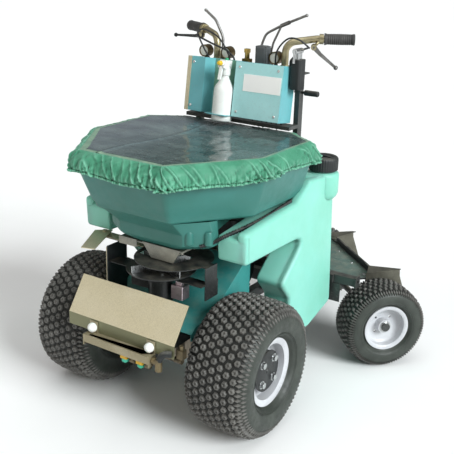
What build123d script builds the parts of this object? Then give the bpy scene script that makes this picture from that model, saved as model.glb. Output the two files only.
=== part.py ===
"""Ride-on turf spreader-sprayer: hopper and spinner, saddle spray tank, engine, handlebars and rear trolley.

Origin on the ground under the drive axle. +X is the machine's left, +Y its rear, +Z up. Millimetres.
"""
import os

from build123d import *

os.makedirs("parts", exist_ok=True)

# ---- driving dimensions -------------------------------------------------------------------------------
FRONT_TYRE_R = 235
FRONT_TRACK_X = 329
LUG_CIRCLE_R = 50.8
LUG_R = 6.0
AXLE_R = 12.5
RUNNING_GAP = 0.05

REAR_TYRE_R = 167
REAR_TRACK_X = 331
REAR_AXLE_Y = 382

STEER_Y = 657
STEER_TURN = -42
KINGPIN_R = 15

SHEET = 3.0
TANK_WALL = 5.0
TANK_OUT_X = 340
TANK_IN_X = 228
HOPPER_WALL = 5.0
PANEL_X = 202
SPINNER_X = 36
SPINNER_Y = -95
DISC_Z = 543
DISC_R = 118
DISC_THICK = 4

TROLLEY = Location((0, STEER_Y, 0), (0, 0, STEER_TURN))
TROLLEY_PLANE = Plane(TROLLEY)
SIDES = {"left": 1, "right": -1}


# ---- helpers ------------------------------------------------------------------------------------------
def save(piece, name):
    """Label a finished piece and write its STEP file."""
    piece.part.label = name
    export_step(piece.part, f"parts/{name}.step")


def block(low, high, mode=Mode.ADD):
    """A box between two opposite corners."""
    size = [b - a for a, b in zip(low, high)]
    centre = [(a + b) / 2 for a, b in zip(low, high)]
    with Locations(tuple(centre)):
        Box(*size, mode=mode)


def rod(start, end, radius, mode=Mode.ADD):
    """A round bar from one point to another."""
    along = Vector(*end) - Vector(*start)
    with Locations(Plane(origin=start, z_dir=along)):
        Cylinder(radius, along.length, align=(Align.CENTER, Align.CENTER, Align.MIN), mode=mode)


def prism(plane, outline, amount, rounding=0, mode=Mode.ADD):
    """A straight-sided solid on a closed outline."""
    with BuildSketch(plane) as profile:
        with BuildLine():
            Polyline(*outline, close=True)
        make_face()
        if rounding:
            fillet(profile.vertices(), rounding)
    extrude(profile.sketch, amount=amount, mode=mode)


def frustum(low_outline, low_z, high_outline, high_z, mode=Mode.ADD):
    """A solid between two horizontal outlines of equal point count."""
    sketches = []
    for outline, height in ((low_outline, low_z), (high_outline, high_z)):
        with BuildSketch(Plane.XY.offset(height)) as level:
            with BuildLine():
                Polyline(*outline, close=True)
            make_face()
        sketches.append(level.sketch)
    loft(sketches, ruled=True, mode=mode)


def bent_tube(points, bends, radius, wall=0.0):
    """A round tube or bar along straight runs joined by tangent arcs."""
    with BuildLine() as path:
        FilletPolyline(*points, radius=bends)
    with BuildSketch(Plane(origin=path.line @ 0, z_dir=path.line % 0)) as section:
        Circle(radius)
        if wall:
            Circle(radius - wall, mode=Mode.SUBTRACT)
    sweep(section.sketch, path=path.line)


def turned(plane, outline):
    """A solid of revolution about the plane's own x axis; outline is (along axle, radius)."""
    with BuildSketch(plane) as profile:
        with BuildLine():
            Polyline(*outline, close=True)
        make_face()
    revolve(profile.sketch, axis=Axis(plane.origin, plane.x_dir))


def placed(plane):
    """A plane given in trolley coordinates, in the machine's frame."""
    return Plane(TROLLEY * plane.location)


def axle_plane(centre, side):
    """Plane at a wheel's centre: x outward along the axle, y up."""
    outward = Vector(side, 0, 0)
    return Plane(origin=centre, x_dir=outward, z_dir=outward.cross(Vector(0, 0, 1)))


def both_sides(half):
    """A closed outline from its left half, front to back, mirrored about the centre plane."""
    return half + [(-x, y) for x, y in reversed(half)]


def octagon(front_y, front_x, side_x, side_front_y, side_back_y, back_y, back_x):
    """Plan outline with chamfered corners, symmetric about the machine's centre plane."""
    return both_sides([(front_x, front_y), (side_x, side_front_y), (side_x, side_back_y), (back_x, back_y)])


def inset(outline, amount):
    """The same outline drawn in towards its own centre by about the given amount."""
    xs = [x for x, _ in outline]
    ys = [y for _, y in outline]
    cx = (max(xs) + min(xs)) / 2
    cy = (max(ys) + min(ys)) / 2
    kx = 1 - 2 * amount / (max(xs) - min(xs))
    ky = 1 - 2 * amount / (max(ys) - min(ys))
    return [(cx + (x - cx) * kx, cy + (y - cy) * ky) for x, y in outline]


# ---- front wheels -------------------------------------------------------------------------------------
front_tyre_outline = [
    (-83.5, 103), (-83.5, 122), (-108, 132), (-118, 150), (-120, 180), (-116, 206), (-104, 225), (-84, 235),
    (84, 235), (104, 225), (116, 206), (120, 180), (118, 150), (108, 132), (83.5, 122), (83.5, 103),
    (66, 103), (66, 118), (96, 140), (104, 165), (101, 195), (84, 214),
    (-84, 214), (-101, 195), (-104, 165), (-96, 140), (-66, 118), (-66, 103),
]
front_rim_outline = [
    (-92, 118), (-84, 118), (-84, 102), (84, 102), (84, 118), (92, 118), (92, 112), (86, 97),
    (50, 97), (40, 88), (38, 74), (38, 36), (32, 36), (32, 76), (34, 90), (44, 97.5),
    (-86, 97), (-92, 112),
]
front_hub_outline = [
    (-237, 0), (-237, AXLE_R), (18, AXLE_R), (18, 62), (31.8, 62), (31.8, 35.8), (38.2, 35.8),
    (38.2, 70), (48, 70), (52, 66), (52, 30), (58, 26), (58, 0),
]
for side_name, side in SIDES.items():
    hub_centre = (side * FRONT_TRACK_X, 0, FRONT_TYRE_R)
    wheel = axle_plane(hub_centre, side)
    lug_plane = Plane(origin=hub_centre, x_dir=(0, 1, 0), z_dir=(side, 0, 0))

    with BuildPart() as front_tyre:
        turned(wheel, front_tyre_outline)
    save(front_tyre, f"front_tyre_{side_name}")

    with BuildPart() as front_rim:
        turned(wheel, front_rim_outline)
        with BuildSketch(lug_plane.offset(30)) as rim_holes:
            with PolarLocations(LUG_CIRCLE_R, 4, start_angle=45):
                Circle(LUG_R + 0.1)
        extrude(rim_holes.sketch, amount=10, mode=Mode.SUBTRACT)
    save(front_rim, f"front_rim_{side_name}")

    with BuildPart() as front_hub:
        turned(wheel, front_hub_outline)
        with BuildSketch(lug_plane.offset(16)) as hub_holes:
            with PolarLocations(LUG_CIRCLE_R, 4, start_angle=45):
                Circle(LUG_R + 0.1)
        extrude(hub_holes.sketch, amount=40, mode=Mode.SUBTRACT)
        with BuildSketch(lug_plane.offset(16)) as lug_shanks:
            with PolarLocations(LUG_CIRCLE_R, 4, start_angle=45):
                Circle(LUG_R)
        extrude(lug_shanks.sketch, amount=36.1)
        with BuildSketch(lug_plane.offset(52.1)) as lug_heads:
            with PolarLocations(LUG_CIRCLE_R, 4, start_angle=45):
                RegularPolygon(9.5, 6, major_radius=False)
        extrude(lug_heads.sketch, amount=8)
    save(front_hub, f"front_hub_{side_name}")

# ---- trolley wheels -----------------------------------------------------------------------------------
rear_tyre_outline = [
    (-59.5, 81), (-59.5, 96), (-76, 104), (-80, 122), (-77, 148), (-64, 161), (-40, 167),
    (40, 167), (64, 161), (77, 148), (80, 122), (76, 104), (59.5, 96), (59.5, 81),
    (46, 81), (46, 94), (66, 108), (69, 124), (66, 142), (54, 151),
    (-54, 151), (-66, 142), (-69, 124), (-66, 108), (-46, 94), (-46, 81),
]
rear_rim_outline = [
    (-67, 91.5), (-60, 91.5), (-60, 80), (60, 80), (60, 91.5), (67, 91.5), (67, 86), (62, 76),
    (34, 76), (26, 66), (24, 50), (24, 30), (52, 28), (52, AXLE_R + RUNNING_GAP),
    (-52, AXLE_R + RUNNING_GAP), (-52, 28), (18, 28), (18, 50), (20, 68), (28, 76.5),
    (-62, 76), (-67, 86),
]
for side_name, side in SIDES.items():
    local_plane = axle_plane((side * REAR_TRACK_X, REAR_AXLE_Y, REAR_TYRE_R), side)
    wheel = placed(local_plane)

    with BuildPart() as rear_tyre:
        turned(wheel, rear_tyre_outline)
    save(rear_tyre, f"rear_tyre_{side_name}")

    with BuildPart() as rear_rim:
        turned(wheel, rear_rim_outline)
        hole_plane = placed(Plane(origin=local_plane.origin, x_dir=(0, 1, 0), z_dir=(side, 0, 0)))
        with BuildSketch(hole_plane.offset(15)) as web_holes:
            with PolarLocations(41, 4, start_angle=45):
                Circle(4.5)
        extrude(web_holes.sketch, amount=20, mode=Mode.SUBTRACT)
    save(rear_rim, f"rear_rim_{side_name}")

# ---- transaxle ----------------------------------------------------------------------------------------
with BuildPart() as transaxle:
    block((-74, -62, 178), (74, 78, 286))
    fillet(transaxle.edges().filter_by(Axis.X), 18)
    rod((0, 20, 240), (0, 20, 289), 34)
    rod((-150, 0, FRONT_TYRE_R), (150, 0, FRONT_TYRE_R), 24)
    for side in SIDES.values():
        block((min(side * 98, side * 146), -44, 208), (max(side * 98, side * 146), 44, 290))
    rod((-152, 0, FRONT_TYRE_R), (-90, 0, FRONT_TYRE_R), AXLE_R + RUNNING_GAP, Mode.SUBTRACT)
    rod((90, 0, FRONT_TYRE_R), (152, 0, FRONT_TYRE_R), AXLE_R + RUNNING_GAP, Mode.SUBTRACT)
save(transaxle, "transaxle")

# ---- main frame ---------------------------------------------------------------------------------------
RAIL_LOW = 291
RAIL_HIGH = 331
RAIL_IN = 97
RAIL_OUT = 127
HOUSING_LOW = 262
HOUSING_HIGH = 312
with BuildPart() as main_frame:
    for side in SIDES.values():
        block((min(side * RAIL_IN, side * RAIL_OUT), -262, RAIL_LOW),
              (max(side * RAIL_IN, side * RAIL_OUT), 606, RAIL_HIGH))
        block((min(side * RAIL_IN, side * RAIL_OUT), -262, RAIL_HIGH),
              (max(side * RAIL_IN, side * RAIL_OUT), -254, 372))
        block((min(side * RAIL_OUT, side * 226), 455, 296), (max(side * RAIL_OUT, side * 226), 485, RAIL_HIGH))
    for cross_y in (-250, 110, 560):
        block((-RAIL_IN, cross_y, 296), (RAIL_IN, cross_y + 30, 326))
    block((-RAIL_IN, 590, 288), (RAIL_IN, 606, 318))
    block((-30, 606, 276), (30, 640, 311))
    rod((0, STEER_Y, HOUSING_LOW), (0, STEER_Y, HOUSING_HIGH), 28)
    rod((0, STEER_Y, 250), (0, STEER_Y, 340), KINGPIN_R + RUNNING_GAP, Mode.SUBTRACT)
    block((-370, 606, 255), (370, 609, 330))
save(main_frame, "main_frame")

with BuildPart() as rear_crossbar:
    block((-432, 607.5, 333), (432, 640, 366))
    block((-429, 611, 336), (429, 637, 363), Mode.SUBTRACT)
    for side in SIDES.values():
        block((min(side * 429, side * 436), 604, 328), (max(side * 429, side * 436), 643, 372))
        block((min(side * 150, side * 340), 598, 333), (max(side * 150, side * 340), 607.5, 366))
    block((-370, 609.2, 322), (370, 612, 333))
    rod((-440, 623.5, 350), (-420, 623.5, 350), 6.5, Mode.SUBTRACT)
    rod((420, 623.5, 350), (440, 623.5, 350), 6.5, Mode.SUBTRACT)
save(rear_crossbar, "rear_crossbar")

# ---- engine -------------------------------------------------------------------------------------------
ENGINE_Y = 300
with BuildPart() as engine_block:
    block((-80, ENGINE_Y - 75, RAIL_HIGH), (62, ENGINE_Y + 75, 452))
    fillet(engine_block.edges().filter_by(Axis.X), 14)
    block((-95, ENGINE_Y - 85, RAIL_HIGH), (95, ENGINE_Y + 85, 339))
    rod((-8, ENGINE_Y - 20, 452), (-8, ENGINE_Y - 20, 552), 40)
    for fin in range(7):
        fin_z = 462 + fin * 12
        block((-62, ENGINE_Y - 74, fin_z), (46, ENGINE_Y + 34, fin_z + 4))
    block((-52, ENGINE_Y - 64, 546), (36, ENGINE_Y + 24, 566))
    rod((-120, ENGINE_Y, 390), (-80, ENGINE_Y, 390), 11)
save(engine_block, "engine_block")

with BuildPart() as recoil_cover:
    rod((64, ENGINE_Y, 424), (116, ENGINE_Y, 424), 82)
    fillet(recoil_cover.edges().group_by(Axis.X)[-1], 12)
    rod((116, ENGINE_Y, 424), (124, ENGINE_Y, 424), 34)
save(recoil_cover, "recoil_cover")

with BuildPart() as muffler:
    block((-150, ENGINE_Y - 78, 478), (-70, ENGINE_Y + 42, 562))
    fillet(muffler.edges().filter_by(Axis.Y), 16)
    rod((-150, ENGINE_Y - 20, 500), (-176, ENGINE_Y - 20, 500), 12)
save(muffler, "muffler")

with BuildPart() as fuel_tank:
    block((-95, ENGINE_Y - 70, 572), (110, ENGINE_Y + 120, 636))
    fillet(fuel_tank.edges().filter_by(Axis.Z), 22)
    rod((60, ENGINE_Y + 70, 636), (60, ENGINE_Y + 70, 645), 22)
    rod((60, ENGINE_Y + 70, 645.2), (60, ENGINE_Y + 70, 664), 29)
save(fuel_tank, "fuel_tank")

# ---- cowl ---------------------------------------------------------------------------------------------
COWL_X = 200
cowl_outer = [(176, 533), (143, 506), (33, 432), (-19, 395), (-125, 384), (-150, 366)]
cowl_inner = [(-147, 363), (-124, 380.5), (-18, 391.5), (35, 428.5), (145, 502.5), (178, 529.5)]
with BuildPart() as cowl:
    prism(Plane.YZ.offset(-COWL_X), cowl_outer + cowl_inner, 2 * COWL_X)
    for side_x in (-COWL_X, COWL_X - SHEET):
        prism(Plane.YZ.offset(side_x), cowl_outer + [(-150, 340), (205, 340), (205, 533)], SHEET)
save(cowl, "cowl")

# ---- front plate and spray boom -----------------------------------------------------------------------
PLATE_X = 222
KNOB_XS = (132, -108)
KNOB_Z = 355
KNOB_HOLE_R = 4.5
with BuildPart() as front_plate:
    plate_outline = [(-195, 492), (-271, 380), (-272, 336), (-269, 336), (-268, 379), (-192.5, 490.3)]
    prism(Plane.YZ.offset(-PLATE_X), plate_outline, 2 * PLATE_X)
    for side in SIDES.values():
        foot_low, foot_high = sorted((side * RAIL_IN, side * RAIL_OUT))
        block((foot_low, -268.4, 340), (foot_high, -262, 372))
    for knob_x in KNOB_XS:
        rod((knob_x, -280, KNOB_Z), (knob_x, -255, KNOB_Z), KNOB_HOLE_R, Mode.SUBTRACT)
save(front_plate, "front_plate")

BOOM_LEFT = 150
BOOM_RIGHT = -128
BOOM_Y = -290
with BuildPart() as boom_bracket:
    block((BOOM_RIGHT, -308, 333), (BOOM_LEFT, -272.2, 336))
    block((BOOM_RIGHT, -308, 309), (BOOM_LEFT, -305, 336))
    block((BOOM_RIGHT, -275.2, 313), (BOOM_LEFT, -272.2, 336))
    for end_x in (BOOM_RIGHT, BOOM_LEFT - SHEET):
        block((end_x, -308, 298), (end_x + SHEET, -272.2, 336))
    block((-106, -302, 330), (116, -293, 340), Mode.SUBTRACT)
    rod((BOOM_RIGHT - 1, BOOM_Y, 320), (BOOM_LEFT + 1, BOOM_Y, 320), 8.4, Mode.SUBTRACT)
    for knob_x in KNOB_XS:
        block((knob_x - 17, -275.2, 333), (knob_x + 17, -272.2, 376))
        rod((knob_x, -280, KNOB_Z), (knob_x, -270, KNOB_Z), KNOB_HOLE_R, Mode.SUBTRACT)
save(boom_bracket, "boom_bracket")

with BuildPart() as boom_cap_nuts:
    for knob_x in KNOB_XS:
        knob_plane = Plane(origin=(knob_x, -275.4, KNOB_Z), x_dir=(0, -1, 0), z_dir=(1, 0, 0))
        dome = [(-12, 0), (-12, 4.3), (0, 4.3), (0, 15), (5, 16.5),
                (14, 15.5), (19, 10.5), (21.5, 4.5), (22, 0)]
        turned(knob_plane, dome)
save(boom_cap_nuts, "boom_cap_nuts")

NOZZLE_XS = (40, 105)
with BuildPart() as boom_pipe:
    rod((-112, BOOM_Y, 320), (176, BOOM_Y, 320), 8)
    for nozzle_x in (72, 134):
        rod((nozzle_x, BOOM_Y, 292), (nozzle_x, BOOM_Y, 320), 6)
        rod((nozzle_x - 10, BOOM_Y, 292), (nozzle_x + 10, BOOM_Y, 292), 7)
    rod((BOOM_LEFT + 2, BOOM_Y, 320), (176, BOOM_Y, 320), 11)
    rod((176, BOOM_Y, 290), (176, BOOM_Y, 331), 12)
    block((224, -262, 336), (248, -240, 366))
    rod((212, -251, 326), (240, -251, 326), 10)
    rod((236, -251, 366), (236, -251, 380), 7)
save(boom_pipe, "boom_pipe")

with BuildPart() as spray_nozzles:
    for nozzle_x in NOZZLE_XS:
        block((nozzle_x - 14, BOOM_Y - 12, 294), (nozzle_x + 14, BOOM_Y + 12, 311.5))
    fillet(spray_nozzles.edges().filter_by(Axis.Z), 4)
save(spray_nozzles, "spray_nozzles")

with BuildPart() as nozzle_caps:
    for nozzle_x in NOZZLE_XS:
        rod((nozzle_x, BOOM_Y, 283), (nozzle_x, BOOM_Y, 293.8), 12)
        rod((nozzle_x, BOOM_Y, 278), (nozzle_x, BOOM_Y, 283), 6)
save(nozzle_caps, "nozzle_caps")

# ---- spray tank ---------------------------------------------------------------------------------------
tank_side = [(-50, 604), (-58, 731), (290, 736), (371, 797), (547, 787), (590, 262), (397, 210),
             (262, 300), (256, 385), (192, 456), (364, 599)]
tank_seat_side = [(-50, 604), (-58, 731), (400, 737), (415, 797), (547, 787), (590, 262), (397, 210),
                  (262, 300), (256, 385), (192, 456), (364, 599)]
TANK_SEAT_X = 326
BRIDGE_FRONT_Y = 520
CAP_X = 304
CAP_Y = 522
CAP_TOP = 852
CAP_R = 54
COLLAR_R = 60
COLLAR_LOW = 690
COLLAR_HIGH = 797
NECK_R = 40
NECK_BORE_R = 35
with BuildPart() as sprayer_tank:
    for side in SIDES.values():
        prism(Plane.YZ.offset(min(side * TANK_SEAT_X, side * TANK_OUT_X)), tank_side, TANK_OUT_X - TANK_SEAT_X)
        seat_plane = Plane.YZ.offset(min(side * TANK_IN_X, side * TANK_SEAT_X))
        prism(seat_plane, tank_seat_side, TANK_SEAT_X - TANK_IN_X)
    fillet(sprayer_tank.faces().sort_by(Axis.X)[0].edges(), 10)
    fillet(sprayer_tank.faces().sort_by(Axis.X)[-1].edges(), 10)
    block((-TANK_IN_X - 20, BRIDGE_FRONT_Y, 430), (TANK_IN_X + 20, 558, 770))
    rod((CAP_X, CAP_Y, COLLAR_LOW), (CAP_X, CAP_Y, COLLAR_HIGH), COLLAR_R)
    with BuildSketch(Plane.YZ.offset(TANK_IN_X + TANK_WALL)) as hollow_side:
        with BuildLine():
            Polyline(*tank_seat_side, close=True)
        make_face()
        offset(amount=-TANK_WALL, kind=Kind.INTERSECTION, mode=Mode.REPLACE)
    hollow_width = TANK_SEAT_X - TANK_IN_X - TANK_WALL
    extrude(hollow_side.sketch, amount=hollow_width, mode=Mode.SUBTRACT)
    near_location = Plane.YZ.offset(TANK_IN_X + TANK_WALL).location
    other_side = Plane.YZ.offset(-TANK_SEAT_X).location * near_location.inverse()
    extrude(other_side * hollow_side.sketch, amount=hollow_width, mode=Mode.SUBTRACT)
    block((-TANK_IN_X - 30, BRIDGE_FRONT_Y + 5, 436), (TANK_IN_X + 30, 552, 764), Mode.SUBTRACT)
    rod((CAP_X, CAP_Y, 785), (CAP_X, CAP_Y, 834), NECK_R)
    rod((CAP_X, CAP_Y, 760), (CAP_X, CAP_Y, 840), NECK_BORE_R, Mode.SUBTRACT)
save(sprayer_tank, "sprayer_tank")

with BuildPart() as tank_cap:
    rod((CAP_X, CAP_Y, 800), (CAP_X, CAP_Y, CAP_TOP), CAP_R)
    chamfer(tank_cap.edges().group_by(Axis.Z)[-1], 6)
    rod((CAP_X, CAP_Y, 799), (CAP_X, CAP_Y, 836), NECK_R + 2 * RUNNING_GAP, Mode.SUBTRACT)
save(tank_cap, "tank_cap")

# ---- hopper -------------------------------------------------------------------------------------------
RIM_Z = 930
LEDGE_Z = 744
NECK_Z = 700
NECK_LOW_Z = 660
OUTLET_Z = 632
FLOOR_THICK = 6
rim_outline = octagon(-285, 175, 370, 15, 330, 425, 230)
ledge_outline = octagon(-206, 150, 315, 25, 330, 400, 225)
floor_outline = octagon(-185, 150, 215, -52, 330, 362, 178)
neck_top = [(-140, -196), (-250, -92), (-250, -60), (-219, -52), (-180, 366),
            (180, 366), (219, -52), (262, -60), (262, -92), (150, -196)]
neck_outline = [(-95, -150), (-180, -94), (-180, -60), (-174, -40), (-120, 230),
                (150, 230), (216, -52), (240, -60), (240, -94), (161, -150)]
neck_low = [(-95, -150), (-178, -94), (-178, -60), (-170, -40), (-90, 105),
            (120, 105), (214, -52), (238, -60), (238, -94), (161, -150)]
outlet_outline = [(-37, -118), (-72, -96), (-72, -40), (-67, -10), (-37, 10),
                  (103, 10), (133, -10), (138, -40), (138, -96), (103, -118)]
neck_levels = [(neck_top, LEDGE_Z, FLOOR_THICK + 0.1), (neck_outline, NECK_Z, 0), (neck_low, NECK_LOW_Z, 0),
               (outlet_outline, OUTLET_Z, -1)]
BOSS_R = 14
with BuildPart() as hopper:
    frustum(ledge_outline, LEDGE_Z, rim_outline, RIM_Z)
    for (high_outline, high_z, _), (low_outline, low_z, _) in zip(neck_levels, neck_levels[1:]):
        frustum(low_outline, low_z, high_outline, high_z)
    for boss_x, boss_y in ((176, -134), (227, -100)):
        rod((boss_x, boss_y, 670), (boss_x, boss_y, 712), BOSS_R)
    frustum(inset(ledge_outline, HOPPER_WALL), 800, inset(rim_outline, HOPPER_WALL), RIM_Z + 1, Mode.SUBTRACT)
    frustum(inset(floor_outline, HOPPER_WALL), LEDGE_Z + FLOOR_THICK, inset(ledge_outline, HOPPER_WALL), 800,
            Mode.SUBTRACT)
    for high, low in zip(neck_levels, neck_levels[1:]):
        frustum(inset(low[0], HOPPER_WALL), low[1] + low[2], inset(high[0], HOPPER_WALL), high[1] + high[2],
                Mode.SUBTRACT)
save(hopper, "hopper")

COVER_TOP = 945
cover_levels = [
    (884, octagon(-286, 180, 372, 10, 336, 432, 236)),
    (906, octagon(-297, 184, 382, 10, 338, 440, 240)),
    (934, octagon(-295, 182, 380, 10, 336, 438, 238)),
    (COVER_TOP, octagon(-270, 166, 356, 14, 324, 418, 226)),
]
with BuildPart() as hopper_cover:
    for (low_z, low_outline), (high_z, high_outline) in zip(cover_levels, cover_levels[1:]):
        frustum(low_outline, low_z, high_outline, high_z)
    for (low_z, low_outline), (high_z, high_outline) in zip(cover_levels[:2], cover_levels[1:3]):
        frustum(inset(low_outline, 4), low_z, inset(high_outline, 4), high_z, Mode.SUBTRACT)
    frustum(inset(cover_levels[2][1], 4), 934, inset(cover_levels[3][1], 4), COVER_TOP - 3.5, Mode.SUBTRACT)
save(hopper_cover, "hopper_cover")

# ---- hopper outlet, shutter and spinner ---------------------------------------------------------------
PORT_XS = ((-34, 6), (66, 106))
PORT_FRONT = -92
PORT_LENGTH = 40
SHAFT_R = 8
PLATE_LOW = OUTLET_Z - 4
RAIL_LOW_Z = PLATE_LOW - 9
LIP_THICK = 3
RAIL_XS = (-60, 126)
OUTLET_FRONT = -128
apron_plane = Plane(origin=(0, OUTLET_FRONT, 0), x_dir=(1, 0, 0), z_dir=(0, -1, 0))
with BuildPart() as outlet_plate:
    block((-120, OUTLET_FRONT, PLATE_LOW), (140, 22, OUTLET_Z - 0.2))
    for port_low, port_high in PORT_XS:
        block((port_low, PORT_FRONT, PLATE_LOW - 1), (port_high, PORT_FRONT + PORT_LENGTH, OUTLET_Z + 1),
              Mode.SUBTRACT)
    rod((SPINNER_X, SPINNER_Y, PLATE_LOW - 1), (SPINNER_X, SPINNER_Y, OUTLET_Z + 1), SHAFT_R + 2,
        Mode.SUBTRACT)
    for rail_x in RAIL_XS:
        block((rail_x, OUTLET_FRONT, RAIL_LOW_Z), (rail_x + 5, 22, PLATE_LOW))
    block((RAIL_XS[0], OUTLET_FRONT, RAIL_LOW_Z), (RAIL_XS[0] + 10, 22, RAIL_LOW_Z + LIP_THICK))
    block((RAIL_XS[1] - 5, OUTLET_FRONT, RAIL_LOW_Z), (RAIL_XS[1] + 5, 22, RAIL_LOW_Z + LIP_THICK))
    for bolt_x in (-105, -80, 136):
        for bolt_y in (-116, -50, 12):
            rod((bolt_x, bolt_y, PLATE_LOW - 8), (bolt_x, bolt_y, PLATE_LOW), 4)
    prism(apron_plane, [(-17, 636), (139, 636), (110, 588), (20, 588)], SHEET)
    prism(apron_plane, [(-117, 636), (-41, 636), (-41, 610), (-117, 610)], SHEET)
save(outlet_plate, "outlet_plate")

SHUTTER_LOW = RAIL_LOW_Z + LIP_THICK + 0.4
SHUTTER_HIGH = PLATE_LOW - 0.6
SHUTTER_FRONT = -96
SHUTTER_BACK = 40
with BuildPart() as shutter:
    block((RAIL_XS[0] + 6, SHUTTER_FRONT, SHUTTER_LOW), (RAIL_XS[1] - 1, SHUTTER_BACK, SHUTTER_HIGH))
    block((SPINNER_X - 18, SHUTTER_FRONT - 1, SHUTTER_LOW - 1),
          (SPINNER_X + 18, SPINNER_Y + 20, SHUTTER_HIGH + 1), Mode.SUBTRACT)
    block((SPINNER_X - 10, SHUTTER_BACK - 8, SHUTTER_LOW - 22), (SPINNER_X + 10, SHUTTER_BACK, SHUTTER_LOW))
save(shutter, "shutter")

SHIELD_LOW = 580
SHIELD_HIGH = 583
HOOD_X = 65
HOOD_Y = -64
HOOD_R = 134
FLAP_X = -262
FLAP_Y = -38
with BuildPart() as spinner_frame:
    rod((HOOD_X, HOOD_Y, SHIELD_LOW), (HOOD_X, HOOD_Y, SHIELD_HIGH), HOOD_R)
    block((-50, -112, SHIELD_LOW - 1), (122, -32, SHIELD_HIGH + 1), Mode.SUBTRACT)
    block((-286, -62, SHIELD_LOW), (-56, -16, SHIELD_HIGH))
    block((180, -90, SHIELD_LOW), (216, -40, SHIELD_HIGH))
    block((-176, -128, 397), (-172, -26, SHIELD_HIGH))
    block((212, -96, 500), (216, -30, SHIELD_HIGH))
    block((-176, SPINNER_Y - 26, 524), (216, SPINNER_Y + 26, 527))
    block((212, -96, 470), (216, -24, 527))
    rod((SPINNER_X, SPINNER_Y, 516), (SPINNER_X, SPINNER_Y, 536), 24, Mode.SUBTRACT)
    rod((FLAP_X, FLAP_Y, 570), (FLAP_X, FLAP_Y, 590), 5 + RUNNING_GAP, Mode.SUBTRACT)
save(spinner_frame, "spinner_frame")

with BuildPart() as spinner_motor:
    rod((SPINNER_X, SPINNER_Y, 436), (SPINNER_X, SPINNER_Y, 523.8), 44)
    rod((SPINNER_X, SPINNER_Y, 523.8), (SPINNER_X, SPINNER_Y, 531), 22)
    block((-70, SPINNER_Y - 30, 470), (SPINNER_X, SPINNER_Y + 30, 518))
    rod((SPINNER_X, SPINNER_Y, 500), (SPINNER_X, SPINNER_Y, 540), SHAFT_R + RUNNING_GAP, Mode.SUBTRACT)
save(spinner_motor, "spinner_motor")

with BuildPart() as terminal_box:
    block((93, -120, 459), (141, -78, 506))
    fillet(terminal_box.edges().filter_by(Axis.Z), 4)
    block((105, -108, 506), (129, -92, 523.8))
save(terminal_box, "terminal_box")

with BuildPart() as spinner_disc:
    rod((SPINNER_X, SPINNER_Y, DISC_Z), (SPINNER_X, SPINNER_Y, DISC_Z + 4), DISC_R)
    rod((SPINNER_X, SPINNER_Y, DISC_Z - 6), (SPINNER_X, SPINNER_Y, DISC_Z + 18), 24)
    for fin_angle in (-21, 69, 159, 249):
        with Locations(Location((SPINNER_X, SPINNER_Y, DISC_Z + 4), (0, 0, fin_angle))):
            with Locations((68, 0, 12)):
                Box(90, 3, 24)
            with Locations((68, -8, 1)):
                Box(90, 16, 3)
    rod((SPINNER_X, SPINNER_Y, DISC_Z - 10), (SPINNER_X, SPINNER_Y, DISC_Z + 30), SHAFT_R, Mode.SUBTRACT)
save(spinner_disc, "spinner_disc")

with BuildPart() as spinner_shaft:
    rod((SPINNER_X, SPINNER_Y, 502), (SPINNER_X, SPINNER_Y, OUTLET_Z + 38), SHAFT_R)
    rod((SPINNER_X - 28, SPINNER_Y, OUTLET_Z + 14), (SPINNER_X + 28, SPINNER_Y, OUTLET_Z + 14), 3)
    rod((SPINNER_X, SPINNER_Y - 28, OUTLET_Z + 28), (SPINNER_X, SPINNER_Y + 28, OUTLET_Z + 28), 3)
save(spinner_shaft, "spinner_shaft")

with BuildPart() as side_deflector:
    prism(Plane.XY.offset(590), [(-300, -50), (-252, -8), (-170, -194), (-218, -209)], SHEET)
    rod((FLAP_X, FLAP_Y, 572), (FLAP_X, FLAP_Y, 598), 5)
    rod((FLAP_X, FLAP_Y, SHIELD_HIGH + 0.2), (FLAP_X, FLAP_Y, 598), 9)
    rod((FLAP_X, FLAP_Y, 572), (FLAP_X, FLAP_Y, SHIELD_LOW - 0.2), 9)
save(side_deflector, "side_deflector")

# ---- console ------------------------------------------------------------------------------------------
console_plane = Plane(origin=(0, 350, 983), x_dir=(1, 0, 0), z_dir=(0, 26, 196))
PANEL_HEIGHT = 198
RECESS = 40
RECESS_LEFT = 5
RECESS_RIGHT = -110
STRIP_EDGE = -128
BOTTLE_X = -36
BOTTLE_R = 37
BOTTLE_DROP = 22
BRIDGE_Z = 1140
LEVER_PIN_R = 4
CONTROL_PIVOT_Y = 512
CONTROL_PIVOT_Z = 1168
GATE_X = -143
SPEED_X = 26
POST_FRONT = 455
with BuildPart() as console_panel:
    front_line = [(-PANEL_X, 88), (-PANEL_X, 0), (STRIP_EDGE, 0), (RECESS_RIGHT, RECESS),
                  (RECESS_LEFT, RECESS),
                  (RECESS_LEFT, 0), (PANEL_X, 0), (PANEL_X, 88)]
    back_line = [(PANEL_X - SHEET, 88), (PANEL_X - SHEET, SHEET), (RECESS_LEFT + SHEET, SHEET),
                 (RECESS_LEFT + SHEET, RECESS + SHEET), (RECESS_RIGHT - 1.4, RECESS + SHEET),
                 (STRIP_EDGE - 1.5, SHEET),
                 (-PANEL_X + SHEET, SHEET), (-PANEL_X + SHEET, 88)]
    prism(console_plane, front_line + back_line, PANEL_HEIGHT)
    prism(console_plane, [(RECESS_RIGHT + 2, RECESS), (-96, -24), (-70, -40), (0, -40), (RECESS_LEFT, -30),
                          (RECESS_LEFT, RECESS)], SHEET)
    shelf_hole = Plane(console_plane.location * Plane.XY.offset(-1).location)
    with BuildSketch(shelf_hole) as hole:
        with Locations((BOTTLE_X, 2)):
            Circle(BOTTLE_R + 0.2)
    extrude(hole.sketch, amount=SHEET + 2, mode=Mode.SUBTRACT)
save(console_panel, "console_panel")

with BuildPart(console_plane) as label_plate:
    block((44, -1.3, 96), (197, -0.2, 156))
save(label_plate, "label_plate")

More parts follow.
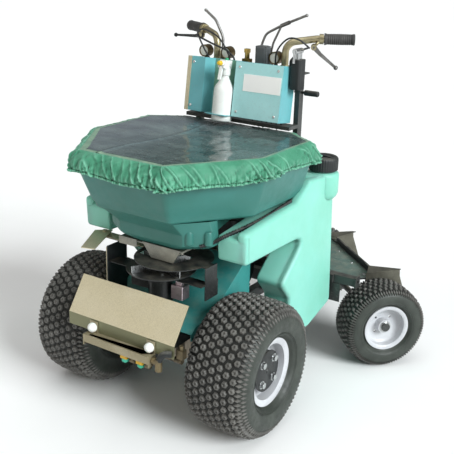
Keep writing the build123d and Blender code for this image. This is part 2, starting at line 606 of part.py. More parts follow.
with BuildPart(console_plane) as spray_bottle:
    rod((BOTTLE_X, 2, -BOTTLE_DROP), (BOTTLE_X, 2, 108), BOTTLE_R)
    rod((BOTTLE_X, 2, 108), (BOTTLE_X, 2, 142), 13)
    with Locations((BOTTLE_X, 2, 108)):
        Cone(BOTTLE_R, 13, 26, align=(Align.CENTER, Align.CENTER, Align.MIN))
save(spray_bottle, "spray_bottle")

with BuildPart(console_plane) as bottle_head:
    rod((BOTTLE_X, 2, 142.2), (BOTTLE_X, 2, 166), 17)
    block((BOTTLE_X - 12, -24, 166), (BOTTLE_X + 12, 20, 196))
    rod((BOTTLE_X, -38, 184), (BOTTLE_X, -24, 184), 8)
    for ear_low in (BOTTLE_X - 12, BOTTLE_X + 8):
        block((ear_low, -34, 168), (ear_low + 4, -24, 176))
        rod((ear_low, -29, 172), (ear_low + 4, -29, 172), 2.05, Mode.SUBTRACT)
save(bottle_head, "bottle_head")

with BuildPart(console_plane) as bottle_trigger:
    rod((BOTTLE_X - 12, -29, 172), (BOTTLE_X + 12, -29, 172), 2)
    prism(Plane(console_plane.location * Plane.YZ.offset(BOTTLE_X - 6).location),
          [(-33, 173.8), (-27, 173.8), (-26.5, 168), (-34, 128), (-40, 126), (-34, 166)], 12)
save(bottle_trigger, "bottle_trigger")

TRAY_LOW = 953
TRAY_HIGH = 966
with BuildPart() as console_frame:
    for side in SIDES.values():
        post_low, post_high = sorted((side * 205, side * 224))
        block((post_low, POST_FRONT, RAIL_HIGH), (post_high, 485, BRIDGE_Z))
        block((min(side * 140, side * 224), 462, BRIDGE_Z - 22), (max(side * 140, side * 224), 466, BRIDGE_Z))
        block((min(side * 206, side * 224), 446, TRAY_LOW), (max(side * 206, side * 224), 456, TRAY_HIGH))
    block((-224, 392, TRAY_LOW), (224, 447, TRAY_HIGH))
    block((38, 450, BRIDGE_Z), (82, 484, 1228))
    block((-198, 420, BRIDGE_Z), (198, 524, BRIDGE_Z + 5))
    block((-224, 462, BRIDGE_Z), (224, 524, BRIDGE_Z + 5))
    rod((190, 470, 1080), (240, 470, 1080), 5 + RUNNING_GAP, Mode.SUBTRACT)
    for ear_x in (GATE_X - 14, GATE_X + 8, SPEED_X - 12, SPEED_X + 42):
        prism(Plane.YZ.offset(ear_x), [(498, BRIDGE_Z + 5), (523, BRIDGE_Z + 5), (522, 1180), (502, 1180)], 5)
    for pin_low, pin_high in ((GATE_X - 20, GATE_X + 20), (SPEED_X - 14, SPEED_X + 50)):
        rod((pin_low, CONTROL_PIVOT_Y, CONTROL_PIVOT_Z), (pin_high, CONTROL_PIVOT_Y, CONTROL_PIVOT_Z),
            LEVER_PIN_R + RUNNING_GAP, Mode.SUBTRACT)
save(console_frame, "console_frame")

with BuildPart() as pull_handle:
    rod((196, 470, 1080), (244, 470, 1080), 5)
    rod((238, 470, 1080), (292, 470, 1080), 10)
    fillet(pull_handle.faces().sort_by(Axis.X)[-1].edges(), 4)
save(pull_handle, "pull_handle")

with BuildPart() as wand_holster:
    block((206, 404, 1096), (246, 452, 1200))
    fillet(wand_holster.edges().filter_by(Axis.Z), 9)
    block((214, 412, 1104), (238, 444, 1202), Mode.SUBTRACT)
save(wand_holster, "wand_holster")

with BuildPart() as spray_gun:
    block((216, 414, 1120), (236, 442, 1222))
    fillet(spray_gun.edges().filter_by(Axis.Z), 6)
    rod((226, 400, 1228), (226, 448, 1228), 10)
    block((222, 396, 1188), (230, 402, 1232))
save(spray_gun, "spray_gun")

# ---- handlebars, grips and levers ---------------------------------------------------------------------
BAR_R = 12.7
GRIP_R = 19
bar_points = [(146, 478, BRIDGE_Z + 5.2), (146, 478, 1246), (238, 536, 1262), (353, 596, 1264)]
with BuildPart() as handlebar:
    for side in SIDES.values():
        bent_tube([(side * x, y, z) for x, y, z in bar_points], (40, 60), BAR_R, 2.5)
        rod((side * 146, 478, BRIDGE_Z + 5.2), (side * 146, 478, BRIDGE_Z + 26), 17)
        rod((side * 146, 478, BRIDGE_Z), (side * 146, 478, BRIDGE_Z + 30), BAR_R - 2.5, Mode.SUBTRACT)
save(handlebar, "handlebar")

grip_end = Vector(353, 596, 1264)
grip_along = (grip_end - Vector(238, 536, 1262)).normalized()
GRIP_LENGTH = 104
for side_name, side in SIDES.items():
    end = Vector(side * grip_end.X, grip_end.Y, grip_end.Z)
    along = Vector(side * grip_along.X, grip_along.Y, grip_along.Z)
    start = end - along * GRIP_LENGTH
    with BuildPart() as grip:
        rod(start, end + along * 4, GRIP_R)
        fillet(grip.edges(), 3)
        rod(start - along, end + along * 0.1, BAR_R + 0.1, Mode.SUBTRACT)
    save(grip, f"grip_{side_name}")

LEVERS = {
    "left": {"pivot": (240, 512, 1236), "ball": (309, 556, 1166), "axis": (0.46, -0.885, -0.105)},
    "right": {"pivot": (-246, 512, 1240), "ball": (-400, 558, 1226), "axis": (0.29, 0.953, -0.08)},
}
with BuildPart() as lever_brackets:
    for side_name, spec in LEVERS.items():
        side = SIDES[side_name]
        along = Vector(side * grip_along.X, grip_along.Y, grip_along.Z)
        clamp_end = Vector(side * grip_end.X, grip_end.Y, grip_end.Z) - along * (GRIP_LENGTH + 2)
        pivot = Vector(*spec["pivot"])
        normal = Vector(*spec["axis"]).normalized()
        rod(clamp_end - along * 15, clamp_end, 18)
        for step in (-11, 5):
            rod(pivot + normal * step, pivot + normal * (step + 6), 10)
        mid = clamp_end - along * 8
        for step in (-8, 8):
            rod(mid, pivot + normal * step, 5)
        rod(pivot - normal * 5, pivot + normal * 5, 16, Mode.SUBTRACT)
        rod(pivot - normal * 12, pivot + normal * 12, LEVER_PIN_R + RUNNING_GAP, Mode.SUBTRACT)
        rod(clamp_end - along * 60, clamp_end + along * 60, BAR_R + 0.1, Mode.SUBTRACT)
        bar_corner, bar_top = [Vector(side * x, y, z) for x, y, z in (bar_points[2], bar_points[1])]
        rod(bar_corner, bar_top, BAR_R + 0.4, Mode.SUBTRACT)
save(lever_brackets, "lever_brackets")

for side_name, spec in LEVERS.items():
    pivot = Vector(*spec["pivot"])
    ball = Vector(*spec["ball"])
    normal = Vector(*spec["axis"]).normalized()
    reach = (ball - pivot).length
    blade = Plane(origin=pivot, x_dir=ball - pivot, z_dir=normal)
    with BuildPart() as brake_lever:
        rod(pivot - normal * 4.6, pivot + normal * 4.6, 9)
        rod(pivot - normal * 11, pivot + normal * 11, LEVER_PIN_R)
        prism(blade.offset(-4), [(2, -8.5), (34, -9), (reach, -4), (reach, 4), (34, 3), (2, 8.5)], 8)
        with Locations(Plane(origin=ball, z_dir=ball - pivot)):
            Sphere(8)
    save(brake_lever, f"brake_lever_{side_name}")

with BuildPart() as gate_lever:
    rod((GATE_X - 6, CONTROL_PIVOT_Y, CONTROL_PIVOT_Z), (GATE_X + 6, CONTROL_PIVOT_Y, CONTROL_PIVOT_Z), 9)
    bent_tube([(GATE_X, CONTROL_PIVOT_Y, CONTROL_PIVOT_Z), (-148, 518, 1240), (-184, 520, 1300),
               (-231, 520, 1333)],
              (60, 60), 5)
    with Locations((-231, 520, 1333)):
        Sphere(6)
    rod((GATE_X - 20, CONTROL_PIVOT_Y, CONTROL_PIVOT_Z), (GATE_X + 20, CONTROL_PIVOT_Y, CONTROL_PIVOT_Z),
        LEVER_PIN_R)
save(gate_lever, "gate_lever")

with BuildPart() as speed_lever:
    for hub_x in (SPEED_X, SPEED_X + 34):
        rod((hub_x - 5, CONTROL_PIVOT_Y, CONTROL_PIVOT_Z), (hub_x + 5, CONTROL_PIVOT_Y, CONTROL_PIVOT_Z), 10)
    rod((SPEED_X - 12, CONTROL_PIVOT_Y, CONTROL_PIVOT_Z), (SPEED_X + 46, CONTROL_PIVOT_Y, CONTROL_PIVOT_Z),
        LEVER_PIN_R)
    bent_tube([(SPEED_X, CONTROL_PIVOT_Y, CONTROL_PIVOT_Z), (24, 516, 1226), (38, 520, 1266), (107, 520, 1302),
               (201, 520, 1341)], (40, 40, 60), 4.5)
    bent_tube([(SPEED_X + 34, CONTROL_PIVOT_Y, CONTROL_PIVOT_Z), (72, 517, 1236), (101, 520, 1298)], 60, 4)
    rod((100, 520, 1298.3), (134, 520, 1313), 7)
    with Locations((201, 520, 1341)):
        Sphere(6)
save(speed_lever, "speed_lever")

GAUGE_XS = (-196, -98, 109)
GAUGE_R = 22
with BuildPart() as gauges:
    for gauge_x in GAUGE_XS:
        rod((gauge_x, 465, 1190), (gauge_x, 491, 1190), GAUGE_R)
        rod((gauge_x, 478, BRIDGE_Z + 5.2), (gauge_x, 478, 1180), 7)
save(gauges, "gauges")

with BuildPart() as valve_block:
    block((-26, 462, BRIDGE_Z + 5.2), (4, 486, 1176))
    rod((-11, 474, 1176), (-11, 474, 1206), 9)
    block((-20, 466, 1198), (-2, 482, 1212))
save(valve_block, "valve_block")

CABLE_R = 3.5
with BuildPart() as control_cables:
    bent_tube([(-236, 470, 1243), (-205, 446, 1240), (-140, 436, 1222), (-80, 440, 1204), (-50, 448, 1178),
               (-50, 448, BRIDGE_Z + 5.2)], 22, CABLE_R)
    bent_tube([(238, 478, 1236), (214, 456, 1226), (186, 446, 1190), (184, 446, BRIDGE_Z + 5.2)], 16, CABLE_R)
save(control_cables, "control_cables")

# ---- trolley ------------------------------------------------------------------------------------------
DECK_TOP = 318
DECK_LOW = 312
with BuildPart(TROLLEY_PLANE) as trolley_frame:
    rod((0, 0, HOUSING_LOW - 14), (0, 0, HOUSING_HIGH + 12), KINGPIN_R)
    rod((0, 0, HOUSING_HIGH + 12), (0, 0, HOUSING_HIGH + 18), 22)
    for ear_low in (HOUSING_LOW - 14, HOUSING_HIGH + 2):
        rod((0, 0, ear_low), (0, 0, ear_low + 10), 29)
        block((-29, 0, ear_low), (29, 60, ear_low + 10))
    block((-35, 46, HOUSING_LOW - 14), (35, 62, HOUSING_HIGH + 12))
    for rail_low in (-35, 15):
        block((rail_low, 60, 276), (rail_low + 20, 400, DECK_LOW - 0.2))
    block((-226, 172, 286), (226, 202, DECK_LOW - 0.2))
    block((-226, 372, 286), (226, 402, DECK_LOW - 0.2))
    for side in SIDES.values():
        block((min(side * 224, side * 234), 354, 150), (max(side * 224, side * 234), 410, DECK_LOW - 0.2))
    rod((-388, REAR_AXLE_Y, REAR_TYRE_R), (388, REAR_AXLE_Y, REAR_TYRE_R), AXLE_R)
    for side in SIDES.values():
        rod((side * 383.5, REAR_AXLE_Y, REAR_TYRE_R), (side * 392, REAR_AXLE_Y, REAR_TYRE_R), 17)
        rod((side * 244, REAR_AXLE_Y, REAR_TYRE_R), (side * 278.5, REAR_AXLE_Y, REAR_TYRE_R), 18)
save(trolley_frame, "trolley_frame")

with BuildPart() as foot_deck:
    deck_outline = [(-196, 152), (196, 152), (236, 192), (236, 386), (-236, 386), (-236, 192)]
    prism(placed(Plane.XY.offset(DECK_LOW)), deck_outline, DECK_TOP - DECK_LOW)
save(foot_deck, "foot_deck")

with BuildPart(TROLLEY_PLANE) as deck_bumper:
    block((-171, 386.5, DECK_LOW), (171, 398.5, 342))
    fillet(deck_bumper.edges().group_by(Axis.Z)[-1], 4)
save(deck_bumper, "deck_bumper")

with BuildPart() as trolley_sides:
    side_outline = [(350, 340), (497, 340), (499, 316), (532, 222), (500, 146), (358, 146), (350, 300)]
    wing = [(172, 390), (246, 350), (241, 493), (231, 507)]
    for side in SIDES.values():
        start_x = 238 if side > 0 else -241
        prism(placed(Plane.YZ.offset(start_x)), side_outline, SHEET)
        prism(placed(Plane.XY.offset(343)), [(side * x, y) for x, y in wing], -SHEET)
    with BuildSketch(placed(Plane.YZ.offset(-250))) as axle_hole:
        with Locations((REAR_AXLE_Y, REAR_TYRE_R)):
            Circle(18.5)
    extrude(axle_hole.sketch, amount=500, mode=Mode.SUBTRACT)
save(trolley_sides, "trolley_sides")
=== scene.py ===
from math import cos, exp, hypot, pi, radians, sin, tau
from random import Random

import bmesh
import bpy
from mathutils import Matrix, Vector, noise


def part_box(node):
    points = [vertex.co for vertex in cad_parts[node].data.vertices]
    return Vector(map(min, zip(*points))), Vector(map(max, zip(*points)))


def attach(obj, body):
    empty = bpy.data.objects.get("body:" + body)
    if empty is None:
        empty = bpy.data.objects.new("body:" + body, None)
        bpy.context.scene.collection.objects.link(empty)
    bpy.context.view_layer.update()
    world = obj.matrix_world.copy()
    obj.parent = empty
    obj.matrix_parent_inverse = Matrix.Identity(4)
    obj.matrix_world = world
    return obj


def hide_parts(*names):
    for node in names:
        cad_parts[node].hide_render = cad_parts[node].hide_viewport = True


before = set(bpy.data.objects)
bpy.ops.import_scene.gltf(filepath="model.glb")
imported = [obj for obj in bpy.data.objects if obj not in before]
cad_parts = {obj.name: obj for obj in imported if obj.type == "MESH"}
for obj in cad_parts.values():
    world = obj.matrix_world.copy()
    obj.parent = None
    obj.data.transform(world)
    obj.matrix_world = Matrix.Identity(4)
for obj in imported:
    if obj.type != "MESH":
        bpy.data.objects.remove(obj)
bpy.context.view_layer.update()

MM = 0.001
SIDES = {"left": 1, "right": -1}
CHASSIS = "chassis"
UP = Vector((0, 0, 1))


def mm(*values):
    """A point given in millimetres."""
    return Vector(values) * MM


def mm_outline(points):
    """Points of a plan or a profile, given in millimetres."""
    return [(x * MM, y * MM) for x, y in points]


def link_in(made):
    """Puts a new object in the scene."""
    bpy.context.scene.collection.objects.link(made)


def middle(node):
    """Centre of a CAD node's box."""
    low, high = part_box(node)
    return (low + high) / 2


# ---- materials ----
def srgb(red, green, blue):
    """Linear colour from 0-255 display values."""
    def channel(value):
        share = value / 255
        return share / 12.92 if share <= 0.04045 else ((share + 0.055) / 1.055) ** 2.4
    return tuple(channel(v) for v in (red, green, blue)) + (1.0,)


LOOKS = {}


class Look:
    """A node material whose patterns are laid out in the object's own metres."""

    def __init__(self, name):
        self.material = LOOKS[name] = bpy.data.materials.new(name)
        self.material.use_nodes = True
        self.tree = self.material.node_tree
        self.tree.nodes.clear()
        self.place = self.node("ShaderNodeTexCoord").outputs["Object"]
        self.shader = self.node("ShaderNodeBsdfPrincipled")
        output = self.node("ShaderNodeOutputMaterial")
        self.tree.links.new(self.shader.outputs["BSDF"], output.inputs["Surface"])
        self.height = None

    def node(self, kind, **inputs):
        """A node with its inputs set from values or joined from sockets; lower-case names are settings."""
        made = self.tree.nodes.new(kind)
        for key, value in inputs.items():
            if key[0].islower():
                setattr(made, key, value)
                continue
            socket = made.inputs[key.replace("_", " ")]
            self.join(value, socket)
        return made

    def join(self, value, socket):
        """Sets a socket from a value or links it from another socket."""
        if isinstance(value, bpy.types.NodeSocket):
            self.tree.links.new(value, socket)
        else:
            socket.default_value = value

    def set(self, **inputs):
        """Sets or links inputs of the surface shader."""
        for key, value in inputs.items():
            self.join(value, self.shader.inputs[key.replace("_", " ")])
        return self

    def stretched(self, stretch=(1, 1, 1), turn=(0, 0, 0)):
        """The object's coordinates, scaled and turned."""
        made = self.node("ShaderNodeMapping", Vector=self.place, Scale=stretch, Rotation=turn)
        return made.outputs["Vector"]

    def noise(self, scale, detail=4.0, roughness=0.55, stretch=(1, 1, 1), distortion=0.0):
        """Fractal noise; scale is in cells per metre."""
        made = self.node("ShaderNodeTexNoise", Vector=self.stretched(stretch), Scale=scale, Detail=detail,
                         Roughness=roughness, Distortion=distortion)
        return made.outputs["Fac"]

    def cells(self, scale, feature="F1", output="Color", stretch=(1, 1, 1)):
        """Voronoi cells."""
        made = self.node("ShaderNodeTexVoronoi", feature=feature, Vector=self.stretched(stretch), Scale=scale)
        return made.outputs[output]

    def wave(self, scale, direction="X", distortion=0.0, turn=(0, 0, 0)):
        """Parallel bands, scale in bands per metre over about six."""
        made = self.node("ShaderNodeTexWave", bands_direction=direction, Vector=self.stretched(turn=turn),
                         Scale=scale, Distortion=distortion)
        return made.outputs["Fac"]

    def span(self, value, low, high, out_low=0.0, out_high=1.0):
        """Maps a range onto another, clamped."""
        names = ("From_Min", "From_Max", "To_Min", "To_Max")
        settings = dict(zip(names, (low, high, out_low, out_high)))
        return self.node("ShaderNodeMapRange", Value=value, **settings).outputs["Result"]

    def sum(self, first, second, how="ADD"):
        """Two values joined by arithmetic."""
        made = self.node("ShaderNodeMath", operation=how)
        self.join(first, made.inputs[0])
        self.join(second, made.inputs[1])
        return made.outputs["Value"]

    def blend(self, share, first, second, how="MIX"):
        """Two colours mixed."""
        made = self.node("ShaderNodeMix", data_type="RGBA", blend_type=how)
        self.join(share, made.inputs[0])
        self.join(first, made.inputs[6])
        self.join(second, made.inputs[7])
        return made.outputs[2]

    def facing_up(self, low=0.3, high=0.95, amount=1.0):
        """A mask of surfaces that face the sky, where dust settles, or of the others if low is above high,
        which is how painted shade is laid on upright faces.
        """
        normal = self.node("ShaderNodeNewGeometry").outputs["Normal"]
        split = self.node("ShaderNodeSeparateXYZ", Vector=normal)
        return self.span(split.outputs["Z"], low, high, 0.0, amount)

    def worn_edges(self, low=0.52, high=0.62):
        """A mask of raised edges."""
        return self.span(self.node("ShaderNodeNewGeometry").outputs["Pointiness"], low, high)

    def bump(self, height, depth, strength=1.0):
        """Adds a relief of the given depth in metres."""
        made = self.node("ShaderNodeBump", Height=height, Distance=depth, Strength=strength)
        if self.height is not None:
            self.join(self.height, made.inputs["Normal"])
        self.height = made.outputs["Normal"]
        self.join(self.height, self.shader.inputs["Normal"])
        return self


def coloured(look, colour, other, scale=6, detail=5, low=0.35, high=0.65):
    """Base colour mottled between two tones, given as 0-255 display values."""
    return look.blend(look.span(look.noise(scale, detail), low, high), srgb(*colour), srgb(*other))


def dusty(look, colour, dust, amount=0.25, scale=22):
    """A colour with dust on the surfaces that face up."""
    patches = look.span(look.noise(scale, 6, 0.65), 0.4, 0.75)
    share = look.sum(look.sum(patches, look.facing_up(), "MULTIPLY"), amount, "MULTIPLY")
    return look.blend(share, colour, dust)


def moulded(name, colour, other, rough=(0.34, 0.5), grain=900, depth=0.00012, soft=0.0, dust=0.2):
    """Moulded plastic: faint mottling, orange-peel grain, slow ripples and a little dust."""
    look = Look(name)
    base = dusty(look, coloured(look, colour, other, 5), srgb(200, 196, 180), dust)
    roughness = look.span(look.noise(35, 5), 0.3, 0.7, rough[0], rough[1])
    look.set(Base_Color=base, Roughness=roughness, Specular_IOR_Level=0.45)
    if soft:
        look.set(Subsurface_Weight=soft, Subsurface_Radius=(0.6, 1.0, 0.9), Subsurface_Scale=0.012)
    look.bump(look.noise(7, 2), 0.0024, 0.5)
    look.bump(look.noise(grain, 2, 0.5), depth)


BARE_STEEL = (150, 150, 145)


def painted(name, colour, other, rough=(0.28, 0.45), chips=0.5, dust=0.25):
    """Powder-coated steel: fine texture, edges worn to metal, dust on top."""
    look = Look(name)
    base = dusty(look, coloured(look, colour, other, 9), srgb(168, 160, 140), dust)
    flakes = look.sum(look.worn_edges(), look.span(look.noise(120, 5, 0.7), 0.55, 0.62), "MULTIPLY")
    wear = look.sum(flakes, chips, "MULTIPLY")
    look.set(Base_Color=look.blend(wear, base, srgb(*BARE_STEEL)), Metallic=look.sum(wear, 0.8, "MULTIPLY"))
    look.set(Roughness=look.span(look.noise(40, 6), 0.3, 0.7, rough[0], rough[1]))
    look.bump(look.noise(1400, 2), 0.00008)


def metal(name, colour, other, rough=(0.18, 0.38), grain=(40, 700, 40), depth=0.00004, metallic=1.0):
    """Bare metal with drawn grain lines and stains."""
    look = Look(name)
    base = coloured(look, colour, other, 14)
    marks = look.sum(look.span(look.noise(55, 6, 0.7), 0.52, 0.7), 0.3, "MULTIPLY")
    base = look.blend(marks, base, srgb(92, 84, 70))
    look.set(Base_Color=base, Metallic=metallic)
    streaks = look.noise(1.0, 4, 0.6, grain)
    rough_map = look.span(streaks, 0.25, 0.75, rough[0], rough[1])
    look.set(Roughness=look.sum(rough_map, look.sum(marks, 0.5, "MULTIPLY")))
    look.bump(streaks, depth)


def galvanised(name, light, dark, rough=(0.34, 0.6), upright=None):
    """Zinc-coated sheet: crystalline spangle, chalky patches and fine speckle; given an upright colour, the
    faces that do not face up get painted shade.
    """
    look = Look(name)
    light, dark = srgb(*light), srgb(*dark)
    spangle = look.span(look.cells(210, output="Distance", stretch=(1, 1.4, 1)), 0.0, 0.9)
    fine = look.noise(620, 6, 0.8)
    cloud = look.noise(9, 5, 0.6)
    base = look.blend(look.span(fine, 0.35, 0.68), dark, light)
    base = look.blend(look.sum(spangle, 0.3, "MULTIPLY"), base, light)
    base = look.blend(look.span(cloud, 0.45, 0.75, 0.0, 0.35), base, srgb(226, 218, 196))
    if upright:
        # painted shade: faces that do not face up are tinted towards the upright colour
        base = look.blend(look.facing_up(0.3, 0.15, 0.85), base, srgb(*upright))
    look.set(Base_Color=base, Metallic=0.55, Roughness=look.span(fine, 0.3, 0.7, rough[0], rough[1]))
    look.bump(fine, 0.0003, 0.6)


def rubber(name, colour, grey, dirt, rough=(0.5, 0.78), dirt_share=0.5):
    """Rubber with grey bloom, and soil in the low places."""
    look = Look(name)
    base = coloured(look, colour, grey, 18, 6)
    hollow = look.span(look.node("ShaderNodeNewGeometry").outputs["Pointiness"], 0.5, 0.4)
    patches = look.span(look.noise(30, 6, 0.7), 0.38, 0.66)
    share = look.sum(look.sum(hollow, patches, "MULTIPLY"), dirt_share, "MULTIPLY")
    scuffs = look.sum(look.worn_edges(0.51, 0.6), 0.35, "MULTIPLY")
    base = look.blend(scuffs, look.blend(share, base, srgb(*dirt)), srgb(*grey))
    look.set(Base_Color=base, Roughness=look.span(look.noise(60, 5), 0.3, 0.7, rough[0], rough[1]))
    look.bump(look.noise(900, 3), 0.00025)


def cloth_look():
    """Coated woven nylon: a fine weave, soft sheen, painted shade in the fold hollows and painted highlight
    on the fold ridges.
    """
    look = Look("cover_cloth")
    base = coloured(look, (44, 122, 92), (74, 150, 118), 14, 6)
    # painted shade: the hollows of the folds are darkened to a deep green
    hollow = look.span(look.node("ShaderNodeNewGeometry").outputs["Pointiness"], 0.5, 0.42)
    base = look.blend(look.sum(hollow, 0.95, "MULTIPLY"), base, srgb(8, 44, 30))
    # painted highlight: the ridges of the folds are lightened to a pale green
    ridge_highlight = look.span(look.node("ShaderNodeNewGeometry").outputs["Pointiness"], 0.51, 0.58)
    base = look.blend(look.sum(ridge_highlight, 0.6, "MULTIPLY"), base, srgb(140, 204, 176))
    warp = look.wave(420, "X", turn=(0, 0, 0.6))
    weft = look.wave(420, "Y", turn=(0, 0, 0.6))
    weave = look.sum(warp, weft, "MULTIPLY")
    look.set(Base_Color=look.blend(look.span(weave, 0, 1, 0.0, 0.16), base, srgb(30, 92, 70)))
    look.set(Roughness=look.span(look.noise(70, 4), 0.3, 0.7, 0.42, 0.62), Sheen_Weight=0.35,
             Sheen_Roughness=0.4, Sheen_Tint=srgb(200, 235, 220))
    look.bump(look.noise(160, 5, 0.6), 0.0009, 0.7)
    look.bump(weave, 0.00015)


def border_look():
    """Pale translucent hem band between the cloth and the window."""
    look = Look("cover_border")
    base = coloured(look, (118, 152, 132), (146, 176, 150), 30, 6)
    look.set(Base_Color=base, Roughness=look.span(look.noise(80, 4), 0.3, 0.7, 0.25, 0.42), Coat_Weight=0.3)
    look.bump(look.noise(140, 5, 0.6), 0.0012, 0.8)
    look.bump(look.wave(420, "X"), 0.00012)


def window_look():
    """Glossy vinyl painted dark for the shaded hopper seen through it, with a paler painted reflection on the
    left, pale cloudy patches and rippled gloss.
    """
    look = Look("cover_window")
    split = look.node("ShaderNodeSeparateXYZ", Vector=look.place)
    # painted shade and reflection: bluish-grey on the left as a reflection, dark green on the right as the
    # shaded inside of the hopper
    side = look.span(split.outputs["X"], -0.28, 0.2)
    see_through_shade = look.blend(side, srgb(96, 106, 114), srgb(46, 82, 78))
    # pale cloudy patches, partly haze in the vinyl and partly painted reflection
    haze_and_reflection = look.span(look.noise(9, 6, 0.62, (1.0, 2.4, 1.0)), 0.42, 0.72)
    see_through_shade = look.blend(look.sum(haze_and_reflection, 0.35, "MULTIPLY"), see_through_shade, srgb(150, 168, 164))
    look.set(Base_Color=see_through_shade, Roughness=look.span(look.noise(26, 5), 0.3, 0.7, 0.18, 0.4), IOR=1.52)
    look.set(Coat_Weight=0.6, Coat_Roughness=0.1)
    look.bump(look.noise(12, 3, 0.5, (1.0, 2.6, 1.0), 0.6), 0.006, 0.35)
    look.bump(look.noise(60, 3, 0.5, (1.0, 2.2, 1.0)), 0.0014, 0.35)
    wrinkles = look.noise(26, 4, 0.6, (1.0, 3.2, 1.0), 1.2)
    glints = look.sum(wrinkles, look.span(split.outputs["X"], -0.1, 0.15), "MULTIPLY")
    look.bump(glints, 0.035, 0.9)


def glass_look():
    """Gauge glass, clear and glossy over its dial."""
    look = Look("gauge_glass")
    clear = look.span(look.noise(50, 3), 0.3, 0.7, 0.02, 0.07)
    look.set(Base_Color=(0.95, 0.97, 0.97, 1), Roughness=clear, Transmission_Weight=1.0, IOR=1.2)


def dial_look():
    """Printed white dial with a plain graduated ring and no lettering."""
    look = Look("gauge_dial")
    base = coloured(look, (236, 236, 228), (222, 222, 210), 40)
    look.set(Base_Color=base, Roughness=look.span(look.noise(90, 2), 0.3, 0.7, 0.35, 0.5))


def floor_look():
    """Pale matt studio floor."""
    look = Look("studio_floor")
    patches = look.span(look.noise(1.4, 5), 0.35, 0.65)
    base = look.blend(patches, (0.93, 0.93, 0.925, 1), (0.9, 0.9, 0.895, 1))
    look.set(Base_Color=base, Roughness=0.9, Specular_IOR_Level=0.1)


painted("frame_steel", (44, 46, 46), (58, 60, 58))
galvanised("galvanised", (224, 213, 182), (158, 146, 116))
# the front plate's upright faces, its lower flange, get a dark olive painted shade
galvanised("plate_zinc", (236, 226, 196), (166, 154, 124), upright=(98, 102, 72))
galvanised("outlet_zinc", (150, 150, 142), (84, 84, 78))
galvanised("galvanised_dull", (176, 166, 138), (112, 102, 78))
metal("cast_case", (150, 140, 126), (110, 102, 90), (0.45, 0.7), (300, 300, 300), 0.0003, 0.7)
painted("black_paint", (24, 26, 27), (36, 38, 38), chips=0.35)
moulded("black_plastic", (26, 29, 30), (38, 41, 42), (0.42, 0.6), 1400, 0.0001, dust=0.3)
painted("teal_paint", (62, 146, 142), (52, 130, 126), (0.3, 0.46), chips=0.3)
painted("console_paint", (108, 180, 186), (98, 168, 174), (0.3, 0.46), chips=0.25)
moulded("white_plastic", (240, 241, 237), (230, 232, 228), (0.2, 0.36), 700, 0.00006, soft=0.1, dust=0.1)
moulded("yellow_plastic", (226, 184, 40), (208, 160, 30), (0.3, 0.45))
moulded("green_plastic", (40, 150, 100), (60, 180, 150), (0.3, 0.45))
moulded("tank_poly", (138, 208, 192), (130, 200, 180), (0.36, 0.5), 520, 0.0002, 0.35, 0.08)
moulded("hopper_poly", (54, 118, 110), (46, 104, 94), (0.36, 0.52), 520, 0.0002, 0.0, 0.1)
metal("bright_steel", (205, 207, 208), (184, 186, 186))
metal("bar_metal", (196, 186, 150), (160, 150, 120), (0.28, 0.5), (60, 60, 60), 0.0001, 0.9)
metal("brass_fittings", (196, 168, 96), (150, 126, 74), (0.25, 0.42))
rubber("grip_rubber", (44, 44, 44), (72, 70, 68), (90, 86, 76), dirt_share=0.2)
rubber("tyre_tread", (66, 65, 62), (104, 102, 98), (60, 55, 46), (0.42, 0.66), 0.5)
rubber("tyre_wall", (40, 45, 40), (58, 63, 57), (96, 90, 74), (0.42, 0.62), 0.35)
# painted shade: a near-black rubber for the band between the tread blocks
rubber("tyre_gap", (20, 21, 19), (30, 31, 28), (44, 40, 32), (0.6, 0.8), 0.5)
# painted shade: a darker, greener copy of the console paint for the recess
painted("console_recess_shade", (112, 164, 140), (100, 150, 126), (0.36, 0.5), chips=0.15)
# painted highlight: a paler copy of the console paint for the lit right panel
painted("console_highlight_paint", (176, 226, 226), (164, 216, 216), (0.3, 0.46), chips=0.2)
painted("rim_paint", (204, 205, 208), (186, 187, 191), (0.26, 0.4), chips=0.15, dust=0.15)
painted("deck_surface", (88, 112, 104), (70, 92, 86), (0.16, 0.3), chips=0.2, dust=0.35)
painted("hub_paint", (46, 56, 48), (56, 66, 56), (0.4, 0.56))
metal("side_steel", (122, 120, 108), (96, 94, 84), (0.34, 0.55), (30, 400, 30), 0.0001, 0.75)
moulded("label_white", (246, 246, 243), (240, 240, 238), (0.3, 0.4), 300, 0.00003, dust=0.0)
rubber("cable_sheath", (18, 19, 20), (34, 35, 36), (80, 76, 68), (0.35, 0.5), 0.1)
metal("lever_steel", (150, 148, 146), (118, 116, 114), (0.3, 0.46))
metal("gauge_case", (120, 104, 72), (84, 72, 52), (0.3, 0.5))
metal("fitting_brown", (132, 118, 88), (88, 80, 66), (0.34, 0.55), (90, 90, 90), 0.0001, 0.8)
painted("housing_grey", (92, 96, 98), (74, 78, 80), (0.4, 0.6), chips=0.3)
metal("copper_cube", (240, 224, 230), (214, 194, 202), (0.3, 0.5), (200, 200, 200), 0.0001)
cloth_look()
border_look()
window_look()
glass_look()
dial_look()


# ---- shapes ----
class Shape:
    """Vertices and faces gathered for one piece."""

    def __init__(self):
        self.verts = []
        self.faces = []

    def add(self, part, place=Matrix.Identity(4)):
        """Joins another shape in, moved by a matrix."""
        base = len(self.verts)
        self.verts += [place @ Vector(v) for v in part.verts]
        self.faces += [tuple(base + i for i in face) for face in part.faces]
        return self


